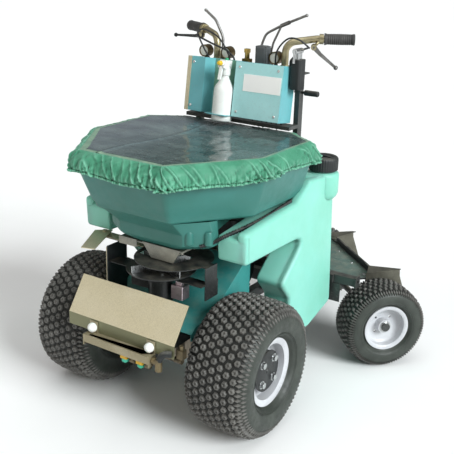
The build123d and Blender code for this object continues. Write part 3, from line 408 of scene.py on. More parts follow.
def loft(loops, caps=(True, True), around=True):
    """A skin through loops of equal length, with flat ends."""
    shape = Shape()
    count = len(loops[0])
    for loop in loops:
        shape.verts += [Vector(v) for v in loop]
    for row in range(len(loops) - 1):
        for i in range(count if around else count - 1):
            j = (i + 1) % count
            low, high = row * count, (row + 1) * count
            shape.faces.append((low + i, low + j, high + j, high + i))
    if caps[0]:
        shape.faces.append(tuple(reversed(range(count))))
    if caps[1]:
        base = (len(loops) - 1) * count
        shape.faces.append(tuple(range(base, base + count)))
    return shape


def frame_at(origin, along, up=Vector((0, 0, 1))):
    """A matrix whose x axis points along, with z as near to up as it can be."""
    x = Vector(along).normalized()
    if abs(x.dot(up)) > 0.99:
        up = Vector((0, 1, 0))
    y = up.cross(x).normalized()
    z = x.cross(y)
    place = Matrix((x, y, z)).transposed().to_4x4()
    place.translation = origin
    return place


def circle(steps, turn=0.0):
    """The cosine and sine of each step round a circle."""
    return [(cos(turn + tau * i / steps), sin(turn + tau * i / steps)) for i in range(steps)]


def lathe(profile, steps=48, closed=False):
    """A profile of (along, radius) turned about x. A closed profile makes a ring, an open one gets caps."""
    loops = []
    for along, radius in profile:
        loops.append([(along, radius * c, radius * s) for c, s in circle(steps)])
    if closed:
        loops.append(loops[0])
        return loft(loops, (False, False))
    return loft(loops)


def turned(profile, steps=48, closed=False):
    """A lathe shape from a profile in millimetres."""
    return lathe(mm_outline(profile), steps, closed)


def box_shape(low, high):
    """A plain box between two corners, to be bevelled."""
    (x0, y0, z0), (x1, y1, z1) = low, high
    bottom = [(x0, y0, z0), (x1, y0, z0), (x1, y1, z0), (x0, y1, z0)]
    top = [(x, y, z1) for x, y, _ in bottom]
    return loft([bottom, top])


def polygon_bar(sides, radius, low, high, turn=0.0):
    """A regular prism along z."""
    ring = [(radius * c, radius * s) for c, s in circle(sides, turn)]
    return loft([[(x, y, low) for x, y in ring], [(x, y, high) for x, y in ring]])


def smooth_path(points, per_span=8):
    """A soft curve through points."""
    points = [Vector(p) for p in points]
    padded = [points[0] * 2 - points[1]] + points + [points[-1] * 2 - points[-2]]
    path = []
    for i in range(1, len(padded) - 2):
        a, b, c, d = padded[i - 1:i + 3]
        for step in range(per_span):
            t = step / per_span
            path.append(0.5 * (2 * b + (c - a) * t + (2 * a - 5 * b + 4 * c - d) * t * t
                               + (3 * b - a - 3 * c + d) * t ** 3))
    path.append(points[-1])
    return path


def tube(path, radius, sides=12, caps=(True, True)):
    """A round tube along a path; radius is a number or a function of 0..1 along it."""
    loops = []
    up = Vector((0, 0, 1))
    for i, point in enumerate(path):
        along = (path[min(i + 1, len(path) - 1)] - path[max(i - 1, 0)]).normalized()
        side = up.cross(along)
        if side.length < 0.05:
            side = Vector((0, 1, 0)).cross(along)
        side.normalize()
        up = along.cross(side)
        size = radius(i / (len(path) - 1)) if callable(radius) else radius
        loops.append([point + (side * c + up * s) * size for c, s in circle(sides)])
    return loft(loops, caps)


def rounded(outline, radius, steps=5):
    """A closed 2-D outline with its corners rounded. The radius is one number or one for each corner."""
    count = len(outline)
    radii = [radius] * count if isinstance(radius, (int, float)) else radius
    made = []
    for i, corner in enumerate(outline):
        here = Vector(corner)
        back = Vector(outline[i - 1]) - here
        ahead = Vector(outline[(i + 1) % count]) - here
        half = back.angle(ahead) / 2
        reach = min(radii[i] / max(sin(half) / cos(half), 1e-4), back.length * 0.45, ahead.length * 0.45)
        start, end = here + back.normalized() * reach, here + ahead.normalized() * reach
        for step in range(steps + 1):
            t = step / steps
            made.append(start * (1 - t) ** 2 + here * 2 * t * (1 - t) + end * t * t)
    return made


def drawn_in(outline, amount):
    """A closed 2-D outline moved inwards along its normals."""
    area = sum(a.x * b.y - b.x * a.y for a, b in zip(outline, outline[1:] + outline[:1]))
    turn = 1 if area > 0 else -1
    made = []
    for i, here in enumerate(outline):
        along = (outline[(i + 1) % len(outline)] - outline[i - 1]).normalized()
        made.append(here + Vector((-along.y, along.x)) * turn * amount)
    return made


def soft_prism(outline, low, high, rim, lift, steps=5):
    """A prism whose two end rims are rounded; lift turns (u, v, w) into a point in space."""
    loops = []
    for end, sign in ((low, 1), (high, -1)):
        turns = [step / steps * pi / 2 for step in range(steps + 1)]
        rings = []
        for angle in turns:
            ring = drawn_in(outline, rim * (1 - sin(angle)))
            rings.append([lift(p.x, p.y, end + sign * rim * (1 - cos(angle))) for p in ring])
        loops += rings if sign > 0 else list(reversed(rings))
    return loft(loops)


def piece(name, shape, look, body=CHASSIS, stands_for=(), sharp=35, bevel=0.0, segments=2):
    """Makes a shape into a piece that rides on a body, with a finish and perhaps a bevel."""
    mesh = bpy.data.meshes.new(name)
    mesh.from_pydata([tuple(v) for v in shape.verts], [], shape.faces)
    work = bmesh.new()
    work.from_mesh(mesh)
    bmesh.ops.remove_doubles(work, verts=work.verts, dist=1e-6)
    bmesh.ops.dissolve_degenerate(work, edges=work.edges, dist=1e-7)
    bmesh.ops.recalc_face_normals(work, faces=work.faces)
    for face in work.faces:
        face.smooth = True
    for edge in work.edges:
        if len(edge.link_faces) == 2:
            edge.smooth = edge.calc_face_angle(0) < radians(sharp)
    work.to_mesh(mesh)
    work.free()
    made = bpy.data.objects.new(name, mesh)
    link_in(made)
    mesh.materials.append(LOOKS[look])
    if bevel:
        soften(made, bevel, segments)
    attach(made, body)
    if stands_for:
        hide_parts(*([stands_for] if isinstance(stands_for, str) else stands_for))
    return made


def soften(made, width, segments=2, angle=32):
    """Rounds an object's sharp edges and evens its shading."""
    round_off = made.modifiers.new("edges", "BEVEL")
    round_off.width = width
    round_off.segments = segments
    round_off.limit_method = "ANGLE"
    round_off.angle_limit = radians(angle)
    round_off.miter_outer = "MITER_ARC"
    even = made.modifiers.new("shading", "WEIGHTED_NORMAL")
    even.weight = 60
    even.keep_sharp = False


def dress(node, look, width=0.0012, segments=2):
    """Gives a CAD node its finish and rounds its edges without touching its mesh."""
    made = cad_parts[node]
    made.data.materials.clear()
    made.data.materials.append(LOOKS[look])
    weld = made.modifiers.new("weld", "WELD")
    weld.merge_threshold = 0.00002
    flat = made.modifiers.new("flat", "DECIMATE")
    flat.decimate_type = "DISSOLVE"
    flat.angle_limit = radians(0.6)
    soften(made, width, segments)
    return made


# ---- CAD nodes that keep their shape ----
# Finish of each kept node, with the width of its rounded edges in millimetres.
DRESSED = {
    "frame_steel": {"main_frame": 1.5, "rear_crossbar": 1.5, "console_frame": 1.0, "trolley_frame": 1.2},
    "cast_case": {"transaxle": 1.5, "engine_block": 0.8},
    "side_steel": {"muffler": 1.2, "shutter": 0.5, "trolley_sides": 0.8},
    "teal_paint": {"cowl": 1.0},
    "plate_zinc": {"front_plate": 0.6},
    "galvanised_dull": {"boom_bracket": 0.6},
    "fitting_brown": {"boom_pipe": 0.8},
    "white_plastic": {"boom_cap_nuts": 1.0, "bottle_head": 2.0, "bottle_trigger": 1.0},
    "yellow_plastic": {"spray_nozzles": 1.2},
    "green_plastic": {"nozzle_caps": 1.0},
    "outlet_zinc": {"outlet_plate": 0.5},
    "black_paint": {"spinner_frame": 0.5, "spinner_motor": 1.0, "spinner_disc": 0.6,
        "brake_lever_right": 1.2, "recoil_cover": 1.5},
    "copper_cube": {"terminal_box": 0.8},
    "bright_steel": {"spinner_shaft": 0.6, "spray_gun": 1.5},
    "galvanised": {"side_deflector": 0.5},
    "console_paint": {"console_panel": 1.0},
    "label_white": {"label_plate": 0.3},
    "black_plastic": {"wand_holster": 1.5, "deck_bumper": 1.0, "fuel_tank": 3.0, "pull_handle": 1.0},
    "bar_metal": {"handlebar": 0.8, "lever_brackets": 1.0},
    "brass_fittings": {"valve_block": 1.0},
    "cable_sheath": {"control_cables": 0.4},
    "lever_steel": {"gate_lever": 0.6, "speed_lever": 0.6, "brake_lever_left": 1.2},
    "deck_surface": {"foot_deck": 1.5},
    "gauge_case": {"gauges": 1.2},
    "hub_paint": {"front_hub_left": 1.2, "front_hub_right": 1.2},
}
for look_name, widths in DRESSED.items():
    for node_name, width in widths.items():
        dress(node_name, look_name, width * MM)
for side_name in SIDES:
    for end_name in ("front", "rear"):
        dress(f"{end_name}_rim_{side_name}", "rim_paint", 1.2 * MM)


# ---- camera and light ----
CAMERA_AT = (1.5688, -2.0686, 1.5543)
CAMERA_AZIMUTH = radians(32.92)
CAMERA_PITCH = radians(19.06)
CAMERA_ROLL = radians(1.68)
CAMERA_LENS = 63.8
SENSOR_WIDTH = 36
# Name, direction of the light, strength, colour and angular size in degrees.
SUNS = (
    ("key", (0.86, -0.18, 0.50), 3.75, (0.93, 0.985, 1.0), 28),
    ("fill", (-0.42, -0.86, 0.40), 0.34, (1.0, 0.94, 0.80), 40),
    ("overhead", (0.05, -0.12, 1.0), 0.85, (1.0, 1.0, 1.0), 60),
)
# Sky brightness by height: (height, colour), and its strength.
SKY = ((0.0, (0.22, 0.24, 0.25, 1)), (0.55, (1.0, 1.0, 1.0, 1)))
SKY_STRENGTH = 0.30
FLOOR_REACH = 40


def make_camera():
    """A camera at the reference viewing angle."""
    ahead = Vector((-sin(CAMERA_AZIMUTH) * cos(CAMERA_PITCH), cos(CAMERA_AZIMUTH) * cos(CAMERA_PITCH),
                    -sin(CAMERA_PITCH)))
    level = ahead.cross(Vector((0, 0, 1))).normalized()
    up = level.cross(ahead)
    right = level * cos(CAMERA_ROLL) + up * sin(CAMERA_ROLL)
    top = up * cos(CAMERA_ROLL) - level * sin(CAMERA_ROLL)
    camera = bpy.data.objects.new("camera", bpy.data.cameras.new("camera"))
    link_in(camera)
    place = Matrix((right, top, -ahead)).transposed().to_4x4()
    place.translation = CAMERA_AT
    camera.matrix_world = place
    camera.data.lens = CAMERA_LENS
    camera.data.sensor_width = SENSOR_WIDTH
    camera.data.clip_end = 100
    bpy.context.scene.camera = camera


def make_sun(name, towards, strength, colour, spread):
    """A broad studio light that shines from a direction."""
    lamp = bpy.data.lights.new(name, "SUN")
    lamp.energy = strength
    lamp.color = colour
    lamp.angle = radians(spread)
    made = bpy.data.objects.new(name, lamp)
    link_in(made)
    made.rotation_mode = "QUATERNION"
    made.rotation_quaternion = Vector(towards).to_track_quat("Z", "Y")


def make_studio():
    """Soft key from the machine's left, warm fill from the front right, overhead light and a pale floor."""
    for sun in SUNS:
        make_sun(*sun)
    scene = bpy.context.scene
    scene.view_settings.view_transform = "Standard"
    scene.world = bpy.data.worlds.new("studio")
    scene.world.use_nodes = True
    tree = scene.world.node_tree
    tree.nodes.clear()
    place = tree.nodes.new("ShaderNodeTexCoord")
    split = tree.nodes.new("ShaderNodeSeparateXYZ")
    ramp = tree.nodes.new("ShaderNodeValToRGB")
    light = tree.nodes.new("ShaderNodeBackground")
    output = tree.nodes.new("ShaderNodeOutputWorld")
    tree.links.new(place.outputs["Generated"], split.inputs["Vector"])
    tree.links.new(split.outputs["Z"], ramp.inputs["Fac"])
    tree.links.new(ramp.outputs["Color"], light.inputs["Color"])
    tree.links.new(light.outputs["Background"], output.inputs["Surface"])
    for stop, (height, colour) in zip(ramp.color_ramp.elements, SKY):
        stop.position = height
        stop.color = colour
    light.inputs["Strength"].default_value = SKY_STRENGTH
    floor_mesh = bpy.data.meshes.new("studio_floor")
    corners = [(x * FLOOR_REACH, y * FLOOR_REACH, 0) for x, y in ((-1, -1), (1, -1), (1, 1), (-1, 1))]
    floor_mesh.from_pydata(corners, [], [(0, 1, 2, 3)])
    floor_look()
    floor_mesh.materials.append(LOOKS["studio_floor"])
    ground = bpy.data.objects.new("studio_floor", floor_mesh)
    link_in(ground)


make_camera()
make_studio()


# ---- tyres ----
def profile_point(profile, share):
    """Point and outward normal on an open (along, radius) profile, share 0..1 by length."""
    lengths = [hypot(b[0] - a[0], b[1] - a[1]) for a, b in zip(profile, profile[1:])]
    target = share * sum(lengths)
    for (a, b), length in zip(zip(profile, profile[1:]), lengths):
        if target <= length:
            break
        target -= length
    t = target / length
    direction = Vector((b[0] - a[0], b[1] - a[1])) / length
    return Vector((a[0] + (b[0] - a[0]) * t, a[1] + (b[1] - a[1]) * t)), Vector((-direction.y, direction.x))


SUNK = 3 * MM


def stud(sides, foot, top, height, dimple, long=1.0):
    """A tread stud: a tapered block with a dimpled crown on z = 0, sunk a little into the carcass."""
    def ring(radius, level):
        return [(radius * long * c, radius * s, level) for c, s in circle(sides)]
    loops = [ring(foot, -SUNK), ring(foot * 0.97, height * 0.3), ring(top, height * 0.88),
             ring(top * 0.88, height)]
    if dimple:
        loops += [ring(top * 0.52, height), ring(top * 0.36, height - dimple)]
    return loft(loops)


def block(foot, top, height, long):
    """A four-sided tread block in millimetres, long times as long as it is wide."""
    return stud(4, foot * MM, top * MM, height * MM, 0, long)


def on_tread(profile, share, angle):
    """Matrix that stands a stud on the tyre: x along the axle, y round the tyre, z out of the tread."""
    spot, normal = profile_point(profile, share)
    if normal.y < 0:
        normal = -normal
    along = Vector((normal.y, -normal.x, 0))
    out = Vector((normal.x, normal.y, 0))
    around = out.cross(along)
    place = Matrix((along, around, out)).transposed().to_4x4()
    place.translation = Vector((spot.x, spot.y, 0))
    return Matrix.Rotation(angle, 4, "X") @ place


# Sections of the tyres, as (distance from the mid plane, radius) in millimetres. The wall outline is closed.
FRONT_CROWN = [
    (-100, 213), (-88, 221), (-60, 225.5), (-30, 227), (0, 227.4), (30, 227), (60, 225.5), (88, 221),
    (100, 213),
]
FRONT_WALL = [(113, 200), (117.5, 183), (117, 164), (113, 146), (106, 133), (95, 126), (86, 121), (84, 112)]
REAR_CROWN = [(-73, 147), (-62, 156), (-40, 160), (0, 161.5), (40, 160), (62, 156), (73, 147)]
REAR_WALL = [(77, 136), (78.5, 120), (76, 108), (70, 101), (61, 97), (60, 90)]


def carcass_outline(crown, wall, seat, inside):
    """A tyre's whole section: the far wall, the crown, the near wall, the rim seat and the inside."""
    edge = [(-u, radius) for u, radius in reversed(wall + seat)]
    back = [(inside[0], inside[1]), (-inside[0], inside[1])]
    return edge + crown + wall + seat + back


FRONT_CARCASS = carcass_outline(FRONT_CROWN, FRONT_WALL, [(83, 103.5), (66, 103)], (60, 112))
REAR_CARCASS = carcass_outline(REAR_CROWN, REAR_WALL, [(59, 81.5), (46, 81)], (42, 90))
GAP_LIFT = 0.4
GAP_DEPTH = 2
STUD_ROWS = 7
STUD_SEEDS = {"left": 11, "right": 12}
STUDS_ROUND = 48
SHOULDER_BARS = 84


def ring_bead(u, radius, height, width):
    """A closed ring of half-round section, standing on a sidewall at u, facing outward."""
    section = [(u - 0.0008, radius - width), (u + height * 0.7, radius - width * 0.5), (u + height, radius),
               (u + height * 0.7, radius + width * 0.5), (u - 0.0008, radius + width)]
    return lathe(section, 96, closed=True)


def wheel_place(name, turn=0.0):
    """Matrix of a wheel from its tyre's box: x outward along its axle, turned about z with the trolley."""
    side = SIDES[name.split("_")[-1]]
    return frame_at(middle(name), (side * cos(turn), side * sin(turn), 0))


def make_carcass(end, side_name, body, carcass, crown, beads, bead_size, steps, place):
    """A tyre's wall with its moulded rings, and a dark band of painted shade that shows between its blocks.
    """
    wall = turned(carcass, steps, closed=True)
    for radius, u in beads:
        bead = ring_bead(u * MM, radius * MM, *(size * MM for size in bead_size))
        wall.add(bead).add(bead, Matrix.Scale(-1, 4, (1, 0, 0)))
    piece(f"tyre_wall_{end}_{side_name}", Shape().add(wall, place), "tyre_wall", body,
          f"{end}_tyre_{side_name}", sharp=60)
    # painted shade: a darker band laid just over the crown, showing between the blocks
    band = [(u, radius + GAP_LIFT) for u, radius in crown]
    gap = turned(band + [(u, radius - GAP_DEPTH) for u, radius in reversed(crown)], steps, closed=True)
    piece(f"tyre_gap_{end}_{side_name}", Shape().add(gap, place), "tyre_gap", body, sharp=60)


def make_front_tyre(side_name):
    """Knobbly turf tyre: carcass, staggered studs, shoulder bars and sidewall rings."""
    place = wheel_place(f"front_tyre_{side_name}")
    body = f"drive_wheel_{side_name}"
    make_carcass("front", side_name, body, FRONT_CARCASS, FRONT_CROWN, ((141, 111.0), (137, 108.6)),
                 (1.6, 1.6), 120, place)
    crown = mm_outline(FRONT_CROWN)
    rng = Random(STUD_SEEDS[side_name])
    studs = Shape()
    for row in range(STUD_ROWS):
        share = 0.115 + 0.77 * row / (STUD_ROWS - 1)
        for step in range(STUDS_ROUND):
            angle = tau * (step + 0.5 * (row % 2)) / STUDS_ROUND
            spin = Matrix.Rotation(rng.uniform(-0.06, 0.06), 4, "Z")
            shape = stud(6, 12.0 * MM, 9.6 * MM, 8.6 * MM, 2.8 * MM)
            studs.add(shape, on_tread(crown, share, angle) @ spin)
    for step in range(SHOULDER_BARS):
        for share, shift in ((0.02, 0.25), (0.98, 0.0)):
            length = 13.5 if step % 2 else 11.0
            bar = block(6.2, 4.9, 6.6, length / 6.2)
            studs.add(bar, on_tread(crown, share, tau * (step + shift) / SHOULDER_BARS))
    piece(f"tyre_studs_front_{side_name}", Shape().add(studs, place), "tyre_tread", body, sharp=38)
    wall_lugs = Shape()
    for face in (1, -1):
        profile = mm_outline([(100 * face, 213), (113 * face, 200), (117.5 * face, 186)])
        for step in range(SHOULDER_BARS):
            angle = tau * (step + 0.5) / SHOULDER_BARS
            wall_lugs.add(block(5.2, 4.0, 3.6, 2.3), on_wall(profile, 0.42, angle))
    piece(f"tyre_shoulder_front_{side_name}", Shape().add(wall_lugs, place), "tyre_tread", body, sharp=38)


def on_wall(profile, share, angle):
    """Matrix that stands a stud on a sidewall: x up the wall, y round the tyre, z outward."""
    spot, _ = profile_point(profile, share)
    (u0, r0), (u1, r1) = profile[0], profile[-1]
    down = Vector((u1 - u0, r1 - r0, 0)).normalized()
    out = Vector((abs(down.y) * (1 if u0 > 0 else -1), abs(down.x), 0)).normalized()
    around = out.cross(down)
    place = Matrix((down, around, out)).transposed().to_4x4()
    place.translation = Vector((spot.x, spot.y, 0))
    return Matrix.Rotation(angle, 4, "X") @ place


for side_name in SIDES:
    make_front_tyre(side_name)

# ---- trolley tyres ----
TROLLEY_TURN = radians(-42)
REAR_BLOCKS_ROUND = 46


def make_rear_tyre(side_name):
    """Ribbed turf tyre: slanted blocks in rows, long shoulder blocks and a bearing ring in the rim."""
    place = wheel_place(f"rear_tyre_{side_name}", TROLLEY_TURN)
    body = f"trolley_wheel_{side_name}"
    make_carcass("rear", side_name, body, REAR_CARCASS, REAR_CROWN, ((112, 76.8), (106, 73.6)), (1.4, 1.5),
                 110, place)
    crown = mm_outline(REAR_CROWN)
    blocks = Shape()
    for row, share in enumerate((0.2, 0.35, 0.5, 0.65, 0.8)):
        slant = 0.5 if row % 2 else -0.5
        for step in range(REAR_BLOCKS_ROUND):
            angle = tau * (step + 0.5 * (row % 2)) / REAR_BLOCKS_ROUND
            lean = Matrix.Rotation(slant, 4, "Z")
            blocks.add(block(7.4, 6.0, 6.0, 1.5), on_tread(crown, share, angle) @ lean)
    for step in range(REAR_BLOCKS_ROUND * 2):
        for share, shift in ((0.05, 0.0), (0.95, 0.5)):
            angle = tau * (step + shift) / (REAR_BLOCKS_ROUND * 2)
            blocks.add(block(4.2, 3.3, 5.2, 3.2), on_tread(crown, share, angle))
    piece(f"tyre_blocks_rear_{side_name}", Shape().add(blocks, place), "tyre_tread", body, sharp=38)
    hub = Shape()
    for u, radius in ((53, 24), (56, 19)):
        hub.add(turned([(u - 4, radius), (u, radius), (u, 15), (u - 4, 15)], closed=True))
    piece(f"bearing_ring_{side_name}", Shape().add(hub, place), "bright_steel", body, bevel=0.6 * MM)


for side_name in SIDES:
    make_rear_tyre(side_name)


# ---- drive wheel hubs ----
HUB_INSET = 14 * MM
BOLT_CIRCLE = 50.8 * MM
BOLT_HEAD = 11.6 * MM
WASHER = 14.5 * MM


def make_hub(side_name):
    """A hub drum out to the rim's face, with four bright hexagon bolts and washers."""
    place = wheel_place(f"front_tyre_{side_name}")
    body = f"drive_wheel_{side_name}"
    rim_low, rim_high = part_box(f"front_rim_{side_name}")
    face = (rim_high.x - rim_low.x) / 2 - HUB_INSET
    bolts = Shape()
    for k in range(4):
        turn = Matrix.Rotation(pi / 4 + k * pi / 2, 4, "X")
        spot = turn @ Matrix.Translation((0, BOLT_CIRCLE, 0)) @ Matrix.Rotation(pi / 2, 4, "Y")
        bolts.add(polygon_bar(6, BOLT_HEAD, face + 2 * MM, face + 11 * MM, 0.2), place @ spot)
        bolts.add(polygon_bar(32, WASHER, face - 1 * MM, face + 2.2 * MM), place @ spot)
    piece(f"wheel_bolts_{side_name}", bolts, "bright_steel", body, bevel=0.8 * MM)
    cap = lathe([(58 * MM, 0.001), (58 * MM, 66 * MM), (face - 6 * MM, 72 * MM), (face - 2 * MM, 72 * MM),
                 (face, 69 * MM), (face, 9 * MM), (face + 2 * MM, 7 * MM), (face + 2.4 * MM, 0.001)])
    piece(f"hub_cap_{side_name}", Shape().add(cap, place), "black_paint", body)


for side_name in SIDES:
    make_hub(side_name)


# ---- outlines shared by the hopper and its cover ----
def octagon(front_y, front_x, side_x, side_front_y, side_back_y, back_y, back_x):
    """Plan outline with cut corners, symmetric about the machine's centre plane, in metres."""
    half = [(front_x, front_y), (side_x, side_front_y), (side_x, side_back_y), (back_x, back_y)]
    return [(x * MM, y * MM) for x, y in half] + [(-x * MM, y * MM) for x, y in reversed(half)]


def between(low, high, share):
    """The outline a share of the way from one outline to another."""
    return [(a[0] + (b[0] - a[0]) * share, a[1] + (b[1] - a[1]) * share) for a, b in zip(low, high)]


def level(outline, height):
    """A plan outline lifted to a height."""
    return [(p[0], p[1], height) for p in outline]


def even_loop(outline, count):
    """Evenly spaced points round a closed outline, with the outward normal and the distance at each."""
    spots = [Vector(p) for p in outline]
    lengths = [(b - a).length for a, b in zip(spots, spots[1:] + spots[:1])]
    total = sum(lengths)
    made = []
    index, passed = 0, 0.0
    for k in range(count):
        target = total * k / count
        while passed + lengths[index] < target:
            passed += lengths[index]
            index += 1
        a, b = spots[index], spots[(index + 1) % len(spots)]
        made.append((a + (b - a) * ((target - passed) / lengths[index]), target))
    area = sum(a.x * b.y - b.x * a.y for a, b in zip(spots, spots[1:] + spots[:1]))
    sign = 1 if area > 0 else -1
    loop = []
    for k, (spot, target) in enumerate(made):
        along = (made[(k + 3) % count][0] - made[k - 3][0]).normalized()
        loop.append((spot, Vector((along.y, -along.x)) * sign, target))
    return loop


# ---- hopper ----
RIM_OUTLINE = octagon(-285, 175, 370, 15, 330, 425, 230)
LEDGE_OUTLINE = octagon(-206, 150, 315, 25, 330, 400, 225)
LEDGE_Z = 744 * MM
RIM_Z = 930 * MM


def make_hopper():
    """Rotomoulded bowl: soft corners, a rounded foot, a flared lip and a narrower neck below."""
    loops = []
    foot = 16 * MM
    for step in range(7):
        angle = step / 6 * pi / 2
        ring = drawn_in(rounded(LEDGE_OUTLINE, 26 * MM, 6), foot * (1 - sin(angle)))
        loops.append(level(ring, LEDGE_Z + foot * (1 - cos(angle))))
    for share in (0.2, 0.4, 0.6, 0.8, 0.9):
        outline = between(LEDGE_OUTLINE, RIM_OUTLINE, share)
        loops.append(level(rounded(outline, (26 + 10 * share) * MM, 6), LEDGE_Z + (RIM_Z - LEDGE_Z) * share))
    middle_y = 97 * MM
    base = [[(x * k, middle_y * (1 - k) + y * k, z) for x, y, z in loops[0]] for k in (0.62, 0.8)]
    bowl = loft(base + loops, (False, False))
    piece("hopper_bowl", bowl, "hopper_poly", CHASSIS, "hopper", sharp=50)
    neck_top = mm_outline([(-140, -190), (-220, -98), (-238, -66), (-219, -52), (-180, 366),
                           (180, 366), (219, -52), (240, -68), (226, -96), (150, -190)])
    neck_outline = mm_outline([(-95, -150), (-180, -94), (-180, -60), (-174, -40), (-120, 230),
                               (150, 230), (216, -52), (240, -60), (240, -94), (161, -150)])
    neck_low = mm_outline([(-95, -150), (-178, -94), (-178, -60), (-170, -40), (-90, 105),
                           (120, 105), (214, -52), (238, -60), (238, -94), (161, -150)])
    outlet = mm_outline([(-37, -118), (-72, -96), (-72, -40), (-67, -10), (-37, 10),
                         (103, 10), (133, -10), (138, -40), (138, -96), (103, -118)])
    radius = 13 * MM
    levels = [(outlet, 632.2), (between(outlet, neck_low, 0.86), 655), (neck_low, 663), (neck_outline, 694),
              (between(neck_outline, neck_top, 0.14), 704), (neck_top, 745)]
    neck = loft([level(rounded(outline, radius, 4), z * MM) for outline, z in levels], (False, False))
    piece("hopper_neck", neck, "hopper_poly", CHASSIS, sharp=40)
    bosses = Shape()
    for x, y in ((176, -134), (227, -100)):
        boss = turned([(0, 1), (0, 12), (3, 14.5), (40, 14.5), (46, 12), (46, 1)], 32)
        bosses.add(boss, frame_at(mm(x, y, 668), UP))
    piece("hopper_bosses", bosses, "hopper_poly", CHASSIS)


make_hopper()


# ---- hopper cover ----
COVER_OUTLINE = octagon(-290, 181, 377, 12, 337, 436, 238)
COVER_CORNER = 34 * MM
SKIRT_SAMPLES = 1300
BORDER_SAMPLES = 420
WINDOW_RINGS = 48
COVER_TOP = 0.9466
FOLD_X = -0.085
SKIRT_STATIONS = [
    (33, 946.8), (30, 946.6), (26.5, 945.4), (22.5, 943.2), (18.5, 940.4), (14.5, 937.2), (11, 933.8),
    (8, 930), (5, 926), (2.5, 921.8), (0.5, 917.4), (-1.5, 913), (-3, 908.6), (-4, 904.2), (-4.6, 900),
    (-4.6, 896.2), (-3.6, 893), (-1.6, 890.4), (0, 888.4), (-2.2, 887.6), (-4.2, 885.4), (-4.2, 882.2),
    (-2, 880), (1.2, 880), (3.2, 882.4), (3.4, 885.6), (2, 888),
]
HEM_FROM = 18
CORNER_REACH = 90 * MM
RUFFLE_PITCH = 23.5 * MM
FINE_PITCH = 10.5 * MM
HEM_PITCH = 7.2 * MM


def soft_step(low, high, value):
    """0 below low, 1 above high, eased between."""
    t = min(max((value - low) / (high - low), 0.0), 1.0)
    return t * t * (3 - 2 * t)


def grain(*where):
    """Smooth noise, about -1 to 1."""
    return noise.noise(Vector(where)) * 1.6


def make_skirt():
    """Elasticated skirt: taut over the rim, with folds that deepen down to a crimped hem."""
    loop = even_loop(rounded(COVER_OUTLINE, COVER_CORNER, 8), SKIRT_SAMPLES)
    corners = [Vector(p) for p in COVER_OUTLINE]
    rows = []
    for row, (inset, height) in enumerate(SKIRT_STATIONS):
        ring = []
        share = row / HEM_FROM
        gather = soft_step(0.35, 1.0, share)
        taut = soft_step(0.0, 0.3, share)
        for spot, out, along in loop:
            near = min((spot - corner).length for corner in corners)
            corner = exp(-(near / CORNER_REACH) ** 2)
            wander = 2.2 * grain(along * 7, 3.1, 0) + 0.9 * grain(along * 23, 7.7, 0)
            ruffle = sin(tau * along / RUFFLE_PITCH + wander) * (0.65 + 0.55 * grain(along * 15, 1.3, 4))
            fine = sin(tau * along / FINE_PITCH + 2.6 * grain(along * 31, 9.2, 2)) * 0.5
            folds = grain(along * 21 + share * 1.6, share * 1.9, 5.5)
            crease = (1 - min(abs(grain(along * 26 - share * 1.3, share * 0.6, 8.8)) * 2.6, 1.0)) ** 2
            slant = (1 - min(abs(grain(along * 24 + share * 3.2, share * 0.9, 2.1)) * 3.0, 1.0)) ** 2
            push = 0.0036 * gather * (ruffle + 0.5 * fine) * (0.8 + 0.5 * corner)
            push += 0.0056 * taut * folds * (0.6 + 0.8 * corner) * (1 - 0.4 * gather)
            push += 0.0082 * taut * (crease - 0.3) * (0.6 + 0.8 * corner)
            push -= 0.0034 * taut * (slant - 0.25) * (0.7 + 0.5 * corner)
            lift = 0.0016 * (1 - gather) * grain(along * 34, row * 0.22, 2.2) * soft_step(0.0, 0.12, share)
            lift += 0.0022 * (1 - taut) * (crease - 0.3) * soft_step(0.0, 0.12, share)
            drop = 0.006 * gather * grain(along * 5.2, 0.4, 6.1) + 0.0016 * gather * ruffle
            if row >= HEM_FROM:
                push += 0.0011 * sin(tau * along / HEM_PITCH + grain(along * 40, 2, 2))
            flat = spot - out * (inset * MM) + out * push
            ring.append((flat.x, flat.y, height * MM + lift + drop))
        rows.append(ring)
    return piece("cover_skirt", loft(rows, (False, False)), "cover_cloth", CHASSIS, "hopper_cover",
                 sharp=180)


